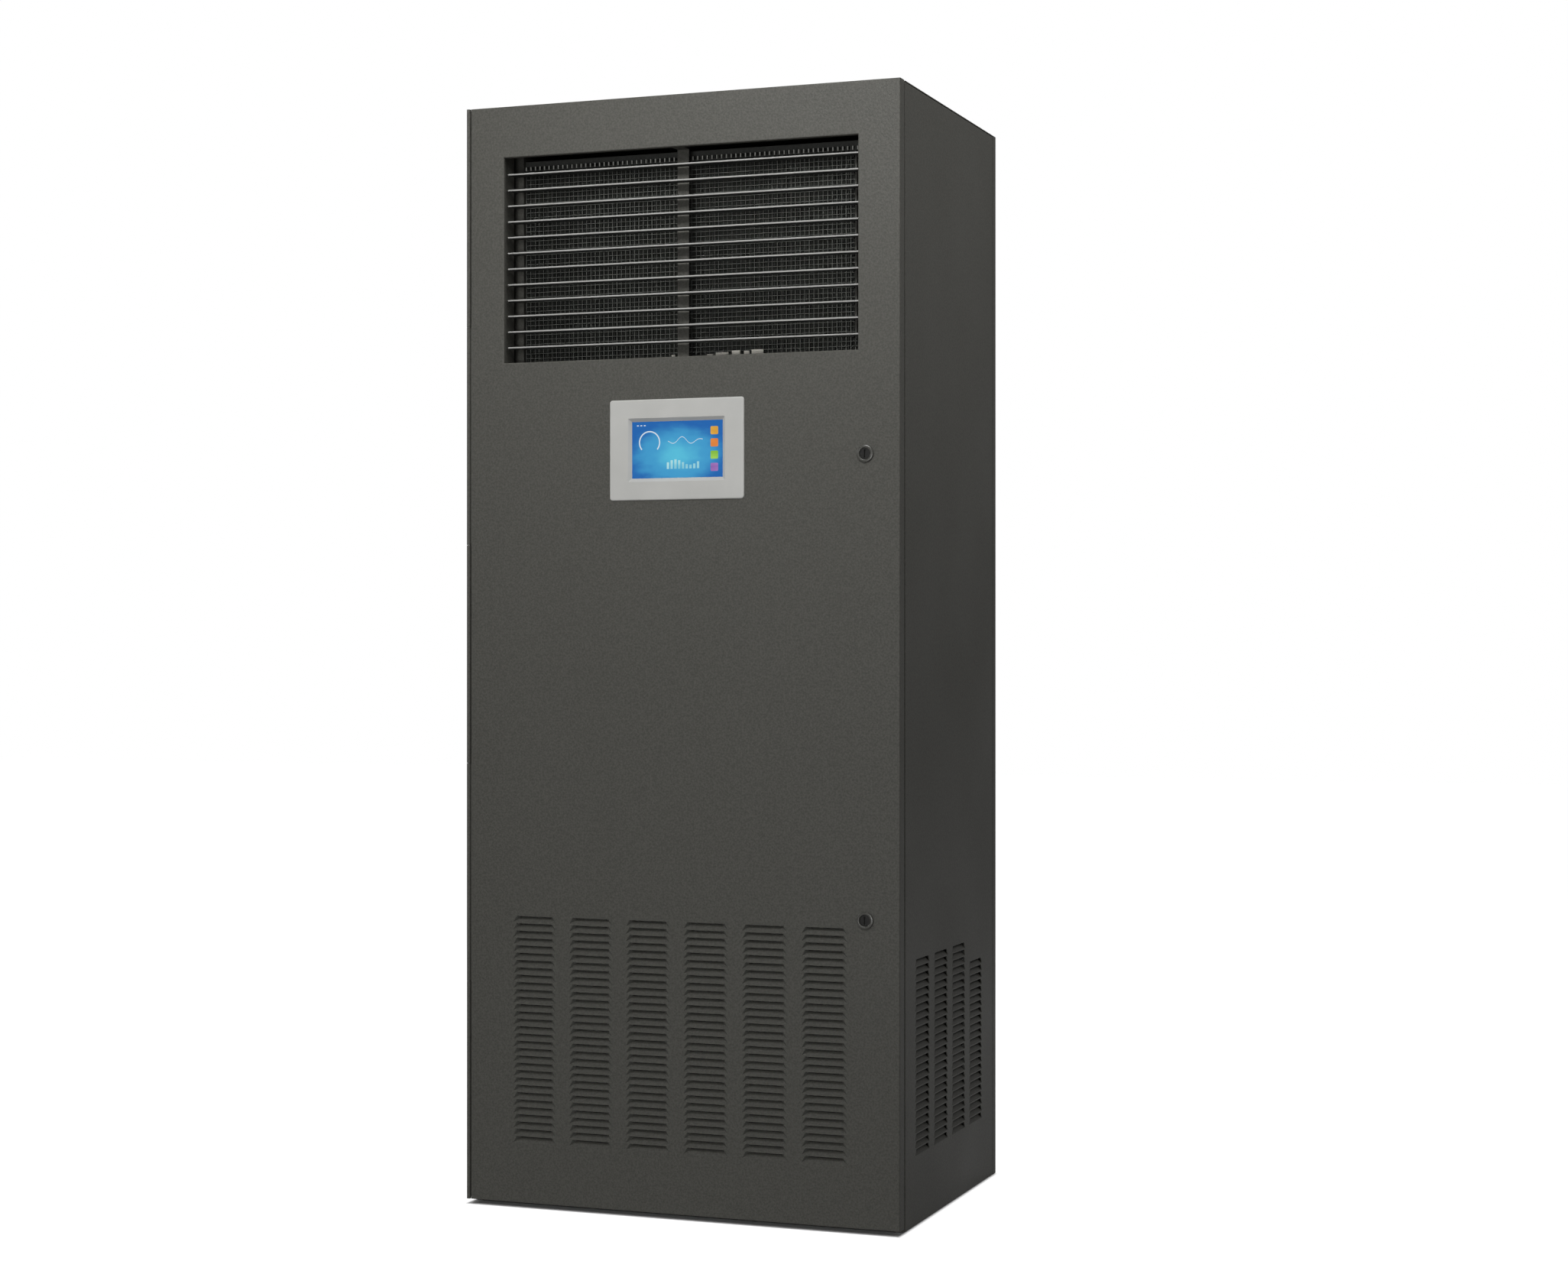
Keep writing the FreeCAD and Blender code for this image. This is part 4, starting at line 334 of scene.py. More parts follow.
def add_piece(name, surface, body, material, replaces=(), sharp=40):
    """A finished piece: closed seams, faces outwards, smooth up to the sharp angle in degrees."""
    points, faces = surface
    mesh = bpy.data.meshes.new(name)
    mesh.from_pydata(points.tolist(), [], [list(face) for face in faces])
    work = bmesh.new()
    work.from_mesh(mesh)
    bmesh.ops.remove_doubles(work, verts=work.verts, dist=MERGE_GAP)
    bmesh.ops.recalc_face_normals(work, faces=work.faces)
    work.to_mesh(mesh)
    work.free()
    mesh.polygons.foreach_set("use_smooth", np.ones(len(mesh.polygons), bool))
    mesh.set_sharp_from_angle(angle=math.radians(sharp))
    mesh.materials.append(material)
    piece = bpy.data.objects.new(name, mesh)
    piece.modifiers.new("Flats", "WEIGHTED_NORMAL").keep_sharp = True
    bpy.context.scene.collection.objects.link(piece)
    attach(piece, body)
    if replaces:
        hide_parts(*replaces)


def stand_in(name, surface, node, material, sharp=40):
    """A piece that takes the place of one CAD node, on its body and with its slot."""
    add_piece(name, surface, BODY_OF[node], material, (node,), sharp)


# Finishes


def start_material(name, roughness, metallic=0.0):
    """An empty finish: its node tree and its shader, with the values that are the same all over."""
    material = bpy.data.materials.new(name)
    material.use_nodes = True
    tree = material.node_tree
    shader = tree.nodes["Principled BSDF"]
    shader.inputs["Roughness"].default_value = roughness
    shader.inputs["Metallic"].default_value = metallic
    return material, tree, shader


def add_node(tree, kind, settings=(), links=()):
    """A node with its settings made and its inputs linked."""
    node = tree.nodes.new(kind)
    for key, value in dict(settings).items():
        if isinstance(key, int) or key in node.inputs:
            node.inputs[key].default_value = value
        else:
            setattr(node, key, value)
    for key, source in dict(links).items():
        tree.links.new(source, node.inputs[key])
    return node


def work_out(tree, operation, *terms):
    """Result of a Math node whose terms are numbers or the outputs of other nodes."""
    settings = {index: term for index, term in enumerate(terms) if isinstance(term, (int, float))}
    links = {index: term for index, term in enumerate(terms) if index not in settings}
    return add_node(tree, "ShaderNodeMath", {"operation": operation, **settings}, links).outputs[0]


def object_point(tree, stretch=(1, 1, 1)):
    """Object coordinates, stretched along the axes."""
    place = add_node(tree, "ShaderNodeTexCoord").outputs["Object"]
    return add_node(tree, "ShaderNodeMapping", {"Scale": stretch}, {"Vector": place}).outputs[0]


def noise(tree, point, scale, detail=3.0):
    """Soft random field of one scale, in cycles per metre."""
    settings = {"Scale": scale, "Detail": detail}
    return add_node(tree, "ShaderNodeTexNoise", settings, {"Vector": point}).outputs[0]


def blend_colours(tree, factor, low, high, span=NOISE_SPAN):
    """Colour that goes from low to high as the factor crosses a span."""
    ramp = add_node(tree, "ShaderNodeValToRGB", links={"Fac": factor})
    for end, place, colour in zip(ramp.color_ramp.elements, span, (low, high)):
        end.position = place
        end.color = (*colour, 1)
    return ramp.outputs["Color"]


def vary_colour(tree, shader, factor, low, high, span=NOISE_SPAN):
    """Base colour that follows a factor from low to high."""
    tree.links.new(blend_colours(tree, factor, low, high, span), shader.inputs["Base Color"])


def vary_gloss(tree, shader, factor, low, high):
    """Roughness that follows a factor from low to high."""
    settings = {"From Min": NOISE_SPAN[0], "From Max": NOISE_SPAN[1], "To Min": low, "To Max": high}
    mapped = add_node(tree, "ShaderNodeMapRange", settings, {"Value": factor})
    tree.links.new(mapped.outputs["Result"], shader.inputs["Roughness"])


def add_bump(tree, shader, height, distance, soft_edge=0.0):
    """Relief of the finish: height 1 stands the distance proud, and edges look rounded to a radius."""
    relief = add_node(tree, "ShaderNodeBump", {"Distance": distance}, {"Height": height})
    if soft_edge:
        rounding = add_node(tree, "ShaderNodeBevel", {"Radius": soft_edge, "samples": 4})
        tree.links.new(rounding.outputs["Normal"], relief.inputs["Normal"])
    tree.links.new(relief.outputs["Normal"], shader.inputs["Normal"])


def tint(colour, factor):
    """A colour made lighter or darker."""
    return tuple(min(1.0, channel * factor) for channel in colour)


def textured_coat(name, colour, roughness=0.5, grain=330):
    """Powder coat: fine orange-peel grain, speckle in the colour, slow changes of gloss and soft edges."""
    material, tree, shader = start_material(name, roughness)
    shader.inputs["Specular IOR Level"].default_value = 0.25
    point = object_point(tree)
    peel = noise(tree, point, grain, detail=2.0)
    cloud = noise(tree, point, scale=3.0, detail=2.0)
    vary_colour(tree, shader, peel, tint(colour, 0.8), tint(colour, 1.2))
    vary_gloss(tree, shader, cloud, roughness - 0.05, roughness + 0.06)
    add_bump(tree, shader, peel, distance=0.0002, soft_edge=0.0009)
    return material


def nose_highlight_paint(name, dark, highlight_colour, fade_start, fade_end):
    """Blade paint: a painted highlight, a pale band up to one depth along the rolled edge, and dark sheet from the
    other depth on.
    """
    material = textured_coat(name, dark, roughness=0.45)
    tree = material.node_tree
    shader = tree.nodes["Principled BSDF"]
    depth = add_node(tree, "ShaderNodeSeparateXYZ", links={0: object_point(tree)}).outputs["Y"]
    fade = {"From Min": fade_start, "From Max": fade_end, "To Min": 1.0, "To Max": 0.0}
    share = add_node(tree, "ShaderNodeMapRange", fade, {"Value": depth})
    sheet = shader.inputs["Base Color"].links[0].from_socket
    mixed = add_node(tree, "ShaderNodeMix", {"data_type": "RGBA"}, {0: share.outputs["Result"], 6: sheet})
    mixed.inputs[7].default_value = (*highlight_colour, 1)
    tree.links.new(mixed.outputs[2], shader.inputs["Base Color"])
    return material


def spangled_zinc(name, colour):
    """Galvanised sheet: crystal patches of slightly different grey with fine scratches."""
    material, tree, shader = start_material(name, roughness=0.42, metallic=0.85)
    crystal = add_node(tree, "ShaderNodeTexVoronoi", {"Scale": 90.0}, {"Vector": object_point(tree)})
    patch = add_node(tree, "ShaderNodeSeparateColor", links={"Color": crystal.outputs["Color"]}).outputs[0]
    vary_colour(tree, shader, patch, tint(colour, 0.78), tint(colour, 1.12), FULL_SPAN)
    scratch = noise(tree, object_point(tree, (900, 40, 40)), scale=1.0)
    vary_gloss(tree, shader, scratch, 0.34, 0.52)
    add_bump(tree, shader, scratch, distance=0.00004)
    return material


def brushed_metal(name, colour, roughness, stretch):
    """Drawn or brushed metal: streaks along one direction in colour, gloss and relief."""
    material, tree, shader = start_material(name, roughness, metallic=1.0)
    streak = noise(tree, object_point(tree, stretch), scale=1.0)
    vary_colour(tree, shader, streak, tint(colour, 0.88), tint(colour, 1.12))
    vary_gloss(tree, shader, streak, roughness - 0.07, roughness + 0.08)
    add_bump(tree, shader, streak, distance=0.00003)
    return material


def moulded_plastic(name, colour, roughness, grain=1400):
    """Moulded plastic or smooth paint: spark-eroded grain and slight changes of tone."""
    material, tree, shader = start_material(name, roughness)
    point = object_point(tree)
    skin = noise(tree, point, grain, detail=2.0)
    cloud = noise(tree, point, scale=14.0)
    vary_colour(tree, shader, cloud, tint(colour, 0.95), tint(colour, 1.05))
    vary_gloss(tree, shader, skin, roughness - 0.05, roughness + 0.05)
    add_bump(tree, shader, skin, distance=0.00004)
    return material


def tarnished_copper(name, colour):
    """Copper pipe: warm metal with browner, duller patches."""
    material, tree, shader = start_material(name, roughness=0.3, metallic=1.0)
    stain = noise(tree, object_point(tree), scale=22.0, detail=5.0)
    vary_colour(tree, shader, stain, tint(colour, 0.55), colour)
    vary_gloss(tree, shader, stain, 0.5, 0.26)
    return material


def matt_rubber(name, colour):
    """Rubber: dusty dark skin with fine pores."""
    material, tree, shader = start_material(name, roughness=0.75)
    point = object_point(tree)
    pore = noise(tree, point, scale=900.0, detail=4.0)
    dust = noise(tree, point, scale=30.0, detail=4.0)
    vary_colour(tree, shader, dust, colour, tint(colour, 1.7))
    add_bump(tree, shader, pore, distance=0.00008)
    return material


def felted_media(name, colour):
    """Filter media: matted fibres, and grey where dust has settled."""
    material, tree, shader = start_material(name, roughness=0.95)
    fibre = noise(tree, object_point(tree, (1200, 1200, 300)), scale=1.0, detail=5.0)
    dust = noise(tree, object_point(tree), scale=9.0, detail=4.0)
    vary_colour(tree, shader, dust, tint(colour, 0.72), colour)
    add_bump(tree, shader, fibre, distance=0.0002)
    return material


def lit_mark(name, low, high=None):
    """Lit mark behind glossy glass: one even colour, or a slow drift over the surface from low to high."""
    material, tree, shader = start_material(name, roughness=0.12)
    shader.inputs["Base Color"].default_value = (0.01, 0.01, 0.012, 1)
    shader.inputs["Emission Color"].default_value = (*low, 1)
    shader.inputs["Emission Strength"].default_value = 0.8
    if high:
        drift = noise(tree, object_point(tree, (26, 1, 60)), scale=1.0, detail=2.0)
        tree.links.new(blend_colours(tree, drift, low, high), shader.inputs["Emission Color"])
    return material


def screen_picture(name, centre, half_height):
    """Screen background: pale cyan glow low in the middle that deepens to blue at the edges and corners."""
    material, tree, shader = start_material(name, roughness=0.2)
    shader.inputs["Base Color"].default_value = (0.004, 0.005, 0.008, 1)
    shader.inputs["Specular IOR Level"].default_value = 0.2
    place = add_node(tree, "ShaderNodeTexCoord").outputs["Object"]
    across, up, glow_drop, drift_share = 0.42 / half_height, 0.7 / half_height, 0.2, 0.3
    glow_z = centre.z - glow_drop * half_height
    shifted = add_node(tree, "ShaderNodeMapping", {"Location": (-centre.x, 0, -glow_z)}, {"Vector": place})
    scaled = add_node(tree, "ShaderNodeMapping", {"Scale": (across, 0, up)}, {"Vector": shifted.outputs[0]})
    reach = add_node(tree, "ShaderNodeVectorMath", {"operation": "LENGTH"}, {0: scaled.outputs[0]})
    drift = noise(tree, object_point(tree, (40, 1, 90)), scale=1.0, detail=2.0)
    mixed = work_out(tree, "MULTIPLY_ADD", drift, drift_share, reach.outputs["Value"])
    ramp = add_node(tree, "ShaderNodeValToRGB", links={"Fac": mixed})
    ramp.color_ramp.interpolation = "EASE"
    stops = ramp.color_ramp.elements
    stops.new(SCREEN_STOPS[1][0])
    for stop, (share, colour) in zip(stops, SCREEN_STOPS):
        stop.position = share
        stop.color = (*colour, 1)
    tree.links.new(ramp.outputs["Color"], shader.inputs["Emission Color"])
    shader.inputs["Emission Strength"].default_value = 1.0
    return material


def edge_group():
    """Geometry nodes that close the seams of a CAD node and shade it smooth except across sharp edges."""
    group = bpy.data.node_groups.new("closed_seams", "GeometryNodeTree")
    group.interface.new_socket("Geometry", in_out="INPUT", socket_type="NodeSocketGeometry")
    group.interface.new_socket("Geometry", in_out="OUTPUT", socket_type="NodeSocketGeometry")
    source = add_node(group, "NodeGroupInput").outputs[0]
    merged = add_node(group, "GeometryNodeMergeByDistance", {"Distance": SEAM_GAP}, {"Geometry": source})
    smooth = add_node(group, "GeometryNodeSetShadeSmooth", {"domain": "FACE"},
                      {"Geometry": merged.outputs[0]})
    angle = add_node(group, "GeometryNodeInputMeshEdgeAngle").outputs["Unsigned Angle"]
    is_sharp = add_node(group, "FunctionNodeCompare",
                        {"data_type": "FLOAT", "operation": "GREATER_THAN", "B": CREASE_ANGLE}, {"A": angle})
    creased = add_node(group, "GeometryNodeSetShadeSmooth", {"domain": "EDGE", "Shade Smooth": False},
                       {"Geometry": smooth.outputs[0], "Selection": is_sharp.outputs[0]})
    add_node(group, "NodeGroupOutput", links={0: creased.outputs[0]})
    return group


def soften(piece, group):
    """Close a CAD node's seams, and shade its flat faces flat up to the rounded folds."""
    piece.modifiers.new("Seams", "NODES").node_group = group
    piece.modifiers.new("Flats", "WEIGHTED_NORMAL").keep_sharp = True


def paint(nodes, material):
    """Give CAD nodes a finish on every slot."""
    for node in nodes:
        mesh = NODES[node].data
        if not mesh.materials:
            mesh.materials.append(material)
        for index in range(len(mesh.materials)):
            mesh.materials[index] = material


# Pieces and stage


class COOLING_OT_finishes(bpy.types.Operator):
    """Paint the listed CAD nodes, and close the seams and smooth the rounds of every CAD node."""

    bl_idname = "cooling.finishes"
    bl_label = "Finishes"

    def execute(self, context):
        colours, _ = looks()
        coat = colours.coat
        paint(["top_panel", "left_panel", "right_panel", "rear_panel", "door_panel",
               "hinge_door_leaf", "hinge_frame_leaf"], textured_coat("powder_coat", coat))
        # Bearers and mullion take lighter copies of the coat: painted light where little light reaches them in the
        # outlet.
        paint(["grille_bearers"], textured_coat("bearer_coat_painted_light", tint(coat, 1.2)))
        paint(["grille_mullion"], textured_coat("mullion_coat_painted_light", tint(coat, 1.3)))
        paint(["base_frame"], textured_coat("base_coat", colours.base, roughness=0.6))
        paint(["corner_posts", "fan_deck", "fan_bracket", "door_stiffeners", "filter_rails", "electrical_box",
               "electrical_cover", "filter_frame", "inlet_ring"], spangled_zinc("zinc_sheet", colours.zinc))
        paint(["drain_pan", "coil_end_plates", "blade_tie_bar"], textured_coat("inner_coat", tint(coat, 0.9)))
        paint(["hinge_pin", "fan_shaft", "reheat_rods", "lock_housings", "upper_lock_core", "lower_lock_core",
               "rear_screws"],
              brushed_metal("plated_steel", colours.steel, roughness=0.3, stretch=(300, 300, 20)))
        paint(["fan_impeller"],
              brushed_metal("wheel_alloy", colours.alloy, roughness=0.38, stretch=(120, 120, 120)))
        paint(["evaporator_fins"],
              brushed_metal("coated_fins", colours.fin, roughness=0.5, stretch=(40, 40, 600)))
        paint(["coil_bends", "suction_pipe", "hot_gas_pipe", "liquid_pipe"],
              tarnished_copper("pipe_copper", colours.copper))
        paint(["compressor", "fan_motor"],
              textured_coat("machine_paint", colours.machine, roughness=0.35, grain=420))
        paint(["contactors", "switch_knob", "controller_box"],
              moulded_plastic("black_plastic", colours.plastic, roughness=0.5))
        paint(["door_gasket", "compressor_mounts", "cable_grommet"],
              matt_rubber("seal_rubber", colours.rubber))
        paint(["filter_media"], felted_media("filter_felt", colours.media))
        paint(["humidifier_tank", "drain_pipe"],
              moulded_plastic("pale_plastic", colours.pale, roughness=0.35, grain=300))
        group = edge_group()
        for piece in NODES.values():
            soften(piece, group)
        return {"FINISHED"}


def blade_section(sizes):
    """Section of the sheet: an arc about the nose centre in front, and a half circle at the rear."""
    half_sheet = sizes.blade_sheet / 2
    nose = sizes.blade_nose / 2
    half_depth = sizes.blade_depth / 2
    opening = math.asin(half_sheet / nose)
    nose_steps, rear_steps = 18, 7
    arc = np.linspace(opening, 2 * math.pi - opening, nose_steps)
    rolled = np.column_stack([nose - half_depth + nose * np.cos(arc), nose * np.sin(arc)])
    turn = np.linspace(-math.pi / 2, math.pi / 2, rear_steps)
    rear_y = half_depth - half_sheet
    rear = np.column_stack([rear_y + half_sheet * np.cos(turn), half_sheet * np.sin(turn)])
    return np.vstack([rolled, rear])


def blade_fittings(sizes):
    """Boxes of the two pivot tangs, the crank tab and the square crank pin."""
    tang_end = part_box(BLADES[0])[1].x
    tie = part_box("blade_tie_bar")[0].x
    pin_start = tie - PIN_GAP
    half_sheet = sizes.blade_sheet / 2
    half_tang = sizes.tang_width / 2
    crank = sizes.crank_radius
    side = sizes.crank_side
    low = np.array([
        (-tang_end, -half_tang, -half_sheet),
        (sizes.blade_end, -half_tang, -half_sheet),
        (pin_start - sizes.tab_sheet, sizes.blade_depth / 2 - sizes.tang_width, -side),
        (pin_start, crank - side / 2, -side / 2),
    ])
    high = np.array([
        (-sizes.blade_end, half_tang, half_sheet),
        (tang_end, half_tang, half_sheet),
        (pin_start, crank + side, side),
        (pin_start + sizes.pin_length, crank + side / 2, side / 2),
    ])
    return blocks(low, high)


class COOLING_OT_outlet_blades(bpy.types.Operator):
    """Outlet blades: sheet with a rolled front edge, pivot tangs, crank tab and crank pin."""

    bl_idname = "cooling.outlet_blades"
    bl_label = "Outlet blades"

    def execute(self, context):
        colours, sizes = looks()
        front_y = PIVOTS[BLADES[0]].y - sizes.blade_depth / 2
        # The pale band on each blade's rolled nose is a painted highlight; the rest of the blade is dark paint.
        fade_start, fade_end = [front_y + share * sizes.blade_nose for share in NOSE_HIGHLIGHT_FADE]
        material = nose_highlight_paint("blade_coat_painted_highlight", colours.blade, colours.nose, fade_start, fade_end)
        sheet = extruded(blade_section(sizes), -sizes.blade_end, sizes.blade_end)
        points, faces = joined(sheet, blade_fittings(sizes))
        for node in BLADES:
            place = np.array([0, PIVOTS[node].y, PIVOTS[node].z])
            stand_in(f"{node}_sheet", (points + place, faces), node, material)
        return {"FINISHED"}


def bezel_frame(sizes, centre, half, face, glass_y, door_y):
    """Rings from the door face round the rim, over the face, down a sloping step and back to the door."""
    rounding = sizes.bezel_round
    corner = sizes.bezel_corner
    rings = [(rounded_loop(half.x, half.z, corner), door_y)]
    rim_steps = 6
    for angle in np.linspace(0, math.pi / 2, rim_steps):
        inset = rounding * (1 - math.cos(angle))
        depth = face + rounding * (1 - math.sin(angle))
        rings.append((rounded_loop(half.x - inset, half.z - inset, corner - inset), depth))
    window = np.array([sizes.window_width / 2, sizes.window_height / 2])
    brow = window + sizes.window_slope
    spigot = np.array([half.x - SPIGOT_INSET, half.z - SPIGOT_INSET])
    rest_y = glass_y - GLASS_GAP
    # Each step is a half size, a corner radius and a depth
    steps = (
        (brow + 0.0006, 0.0012, face),
        (brow, 0.001, face + 0.0004),
        (window + 0.0004, 0.0005, glass_y - 0.0003),
        (window, 0.0004, rest_y),
        (window + 0.0035, 0.0004, rest_y),
        (spigot, 0.001, rest_y),
        (spigot, 0.001, door_y),
    )
    rings += [(rounded_loop(*size, radius), depth) for size, radius, depth in steps]
    rings.append(rings[0])
    return framed(rings, (centre.x, 0, centre.z))


def tile(row):
    """Rounded square in the column of tiles at the right."""
    half, corner, right, top, pitch = 0.0065, 0.002, 0.064, 0.029, 0.0195
    return plate(rounded_loop(half, half, corner), MARK_BACK, MARK_FRONT, (right, 0, top - pitch * row))


def dial():
    """Open ring: two arcs about one centre, from 40 degrees below the right side round to the left."""
    inner, outer, x, z = 0.0165, 0.0185, -0.048, 0.012
    first, last, steps = math.radians(-40), math.radians(220), 64
    angle = np.linspace(first, last, steps)
    arcs = [np.column_stack([x + r * np.cos(angle), z + r * np.sin(angle)]) for r in (inner, outer)]
    return ribbon(*arcs, (MARK_FRONT, MARK_BACK), 1)


def bars():
    """Bars on one foot line, whose heights follow a sine."""
    left, pitch, width, foot = -0.018, 0.0065, 0.004, -0.031
    count, shortest, swing, turn = 9, 0.006, 0.009, 0.8
    step = np.arange(count)
    height = shortest + swing * (0.5 + 0.5 * np.sin(step * turn))
    x = left + pitch * step
    return blocks(corners(x, MARK_FRONT, foot), corners(x + width, MARK_BACK, foot + height))


def trend():
    """Wavy line: a sine under a bell curve, with a steady width."""
    height, swing, middle, spread, half_width = 0.014, 0.006, 0.01, 0.03, 0.0005
    start, end, steps, ripple = -0.016, 0.044, 80, 190
    x = np.linspace(start, end, steps)
    wave = height + swing * np.sin(x * ripple) * np.exp(-((x - middle) / spread) ** 2)
    edges = [np.column_stack([x, wave + side]) for side in (half_width, -half_width)]
    return ribbon(*edges, (MARK_FRONT, MARK_BACK), 1)


def status_dashes():
    """Three short dashes in the upper left corner."""
    width, height, z = 0.0032, 0.0016, 0.0385
    x = np.array([-0.07, -0.064, -0.058])
    return blocks(corners(x, MARK_FRONT, z), corners(x + width, MARK_BACK, z + height))


class COOLING_OT_display(bpy.types.Operator):
    """Display: rounded bezel, screen with a generic plant overview of gauges, bars and tiles."""

    bl_idname = "cooling.display"
    bl_label = "Display"

    def execute(self, context):
        colours, sizes = looks()
        low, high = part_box("display_bezel")
        centre = (low + high) / 2
        half = (high - low) / 2
        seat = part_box("display_screen")
        glass_y = seat[0].y
        bezel = bezel_frame(sizes, centre, half, low.y, glass_y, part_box("door_panel")[0].y)
        plastic = moulded_plastic("bezel_grey", colours.bezel, roughness=0.38)
        stand_in("bezel_frame", bezel, "display_bezel", plastic, sharp=30)
        picture = screen_picture("screen_blue", centre, sizes.window_height / 2)
        stand_in("screen_glass", blocks(seat[0], seat[1]), "display_screen", picture)
        self.add_marks(colours.mark, np.array([centre.x, glass_y, centre.z]))
        return {"FINISHED"}

    def add_marks(self, white, place):
        """Flat lit marks that stand just proud of the glass, placed from the middle of the screen."""
        marks = [(name, tile(row), low, high) for row, (name, low, high) in enumerate(TILES)]
        marks += [
            ("dial_ring", dial(), white, None),
            ("load_bars", bars(), BAR_CYAN, BAR_PALE),
            ("trend_line", trend(), white, None),
            ("status_marks", status_dashes(), white, None),
        ]
        for name, (points, faces), low, high in marks:
            add_piece(name, (points + place, faces), "door", lit_mark(name, low, high))


def lock_ring(pivot):
    """Turned profile: along the bore, over lip, face and shoulder, and back along the neck."""
    low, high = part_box("lock_housings")
    door_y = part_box("door_panel")[0].y
    profile = [(LOCK_BORE, high.y)]
    profile += [(LOCK_BORE + out, low.y + depth) for out, depth in LOCK_LIP]
    profile += [(LOCK_RIM - inset, low.y + depth) for inset, depth in LOCK_SHOULDER]
    profile += [(LOCK_RIM, door_y), (LOCK_NECK, door_y), (LOCK_NECK, high.y), (LOCK_BORE, high.y)]
    return turned(profile, (pivot.x, 0, pivot.z))


def lock_core(node, pivot):
    """Core as rings whose face sinks into a round-ended slot, and the cam as a rounded plate."""
    low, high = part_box(node)
    face = low.y
    slot_y = face + SLOT_DEPTH
    cam_y = high.y - CAM_SHEET
    steps = 12
    outer = rounded_loop(CORE_RADIUS, CORE_RADIUS, CORE_RADIUS, steps)
    slot = rounded_loop(half_width=0.0013, half_height=0.0065, radius=0.0012, steps=steps)
    # Back, side, rounded edge, face, and the wall and floor of the slot
    rings = [
        (outer * 0.0, cam_y), (outer, cam_y), (outer, face + 0.0006), (outer * 0.96, face + 0.0001),
        (outer * 0.9, face), (slot, face), (slot * 0.94, slot_y), (slot * 0.0, slot_y),
    ]
    reach = pivot.z - low.z
    width = high.z - pivot.z
    cam = rounded_loop(width, (reach + width) / 2, CAM_CORNER, steps) + (0, (width - reach) / 2)
    place = (pivot.x, 0, pivot.z)
    return joined(framed(rings, place), plate(cam, cam_y, high.y, place))


class COOLING_OT_locks(bpy.types.Operator):
    """Quarter-turn locks: dished ring, turning core with a key slot, and the cam behind the door."""

    bl_idname = "cooling.locks"
    bl_label = "Locks"

    def execute(self, context):
        colours, _ = looks()
        ring_finish = moulded_plastic("lock_ring_black", tint(colours.coat, 0.75), roughness=0.28)
        core_finish = textured_coat("lock_core_black", tint(colours.coat, 0.1), roughness=0.5)
        rings = joined(*[lock_ring(PIVOTS[body]) for body in LOCKS])
        stand_in("lock_rings", rings, "lock_housings", ring_finish, sharp=30)
        for body in LOCKS:
            node = f"{body}_core"
            stand_in(f"{node}_turned", lock_core(node, PIVOTS[body]), node, core_finish, sharp=30)
        return {"FINISHED"}


def return_bends(sizes):
    """Return bends as half rings: a circle of the tube radius carried round half a turn."""
    low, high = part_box("coil_bends")
    tube = sizes.bend_tube
    ring = high.x - low.x - tube
    steps, sides = 20, 16
    bend = np.linspace(-math.pi / 2, math.pi / 2, steps)[:, None]
    angle = np.linspace(0, 2 * math.pi, sides, endpoint=False)
    radius = ring + tube * np.cos(angle)
    depth = np.broadcast_to(tube * np.sin(angle), (steps, sides))
    surface = np.stack([radius * np.cos(bend), depth, radius * np.sin(bend)], axis=-1).reshape(-1, 3)
    faces = ring_quads(steps, sides).tolist()
    faces += [list(range(sides - 1, -1, -1)), list(range((steps - 1) * sides, steps * sides))]
    count = round((high.z - low.z - 2 * (ring + tube)) / sizes.bend_pitch) + 1
    start = np.array([low.x, (low.y + high.y) / 2, low.z + ring + tube])
    step = np.array([0, 0, sizes.bend_pitch])
    return joined(*[(surface + start + step * index, faces) for index in range(count)])


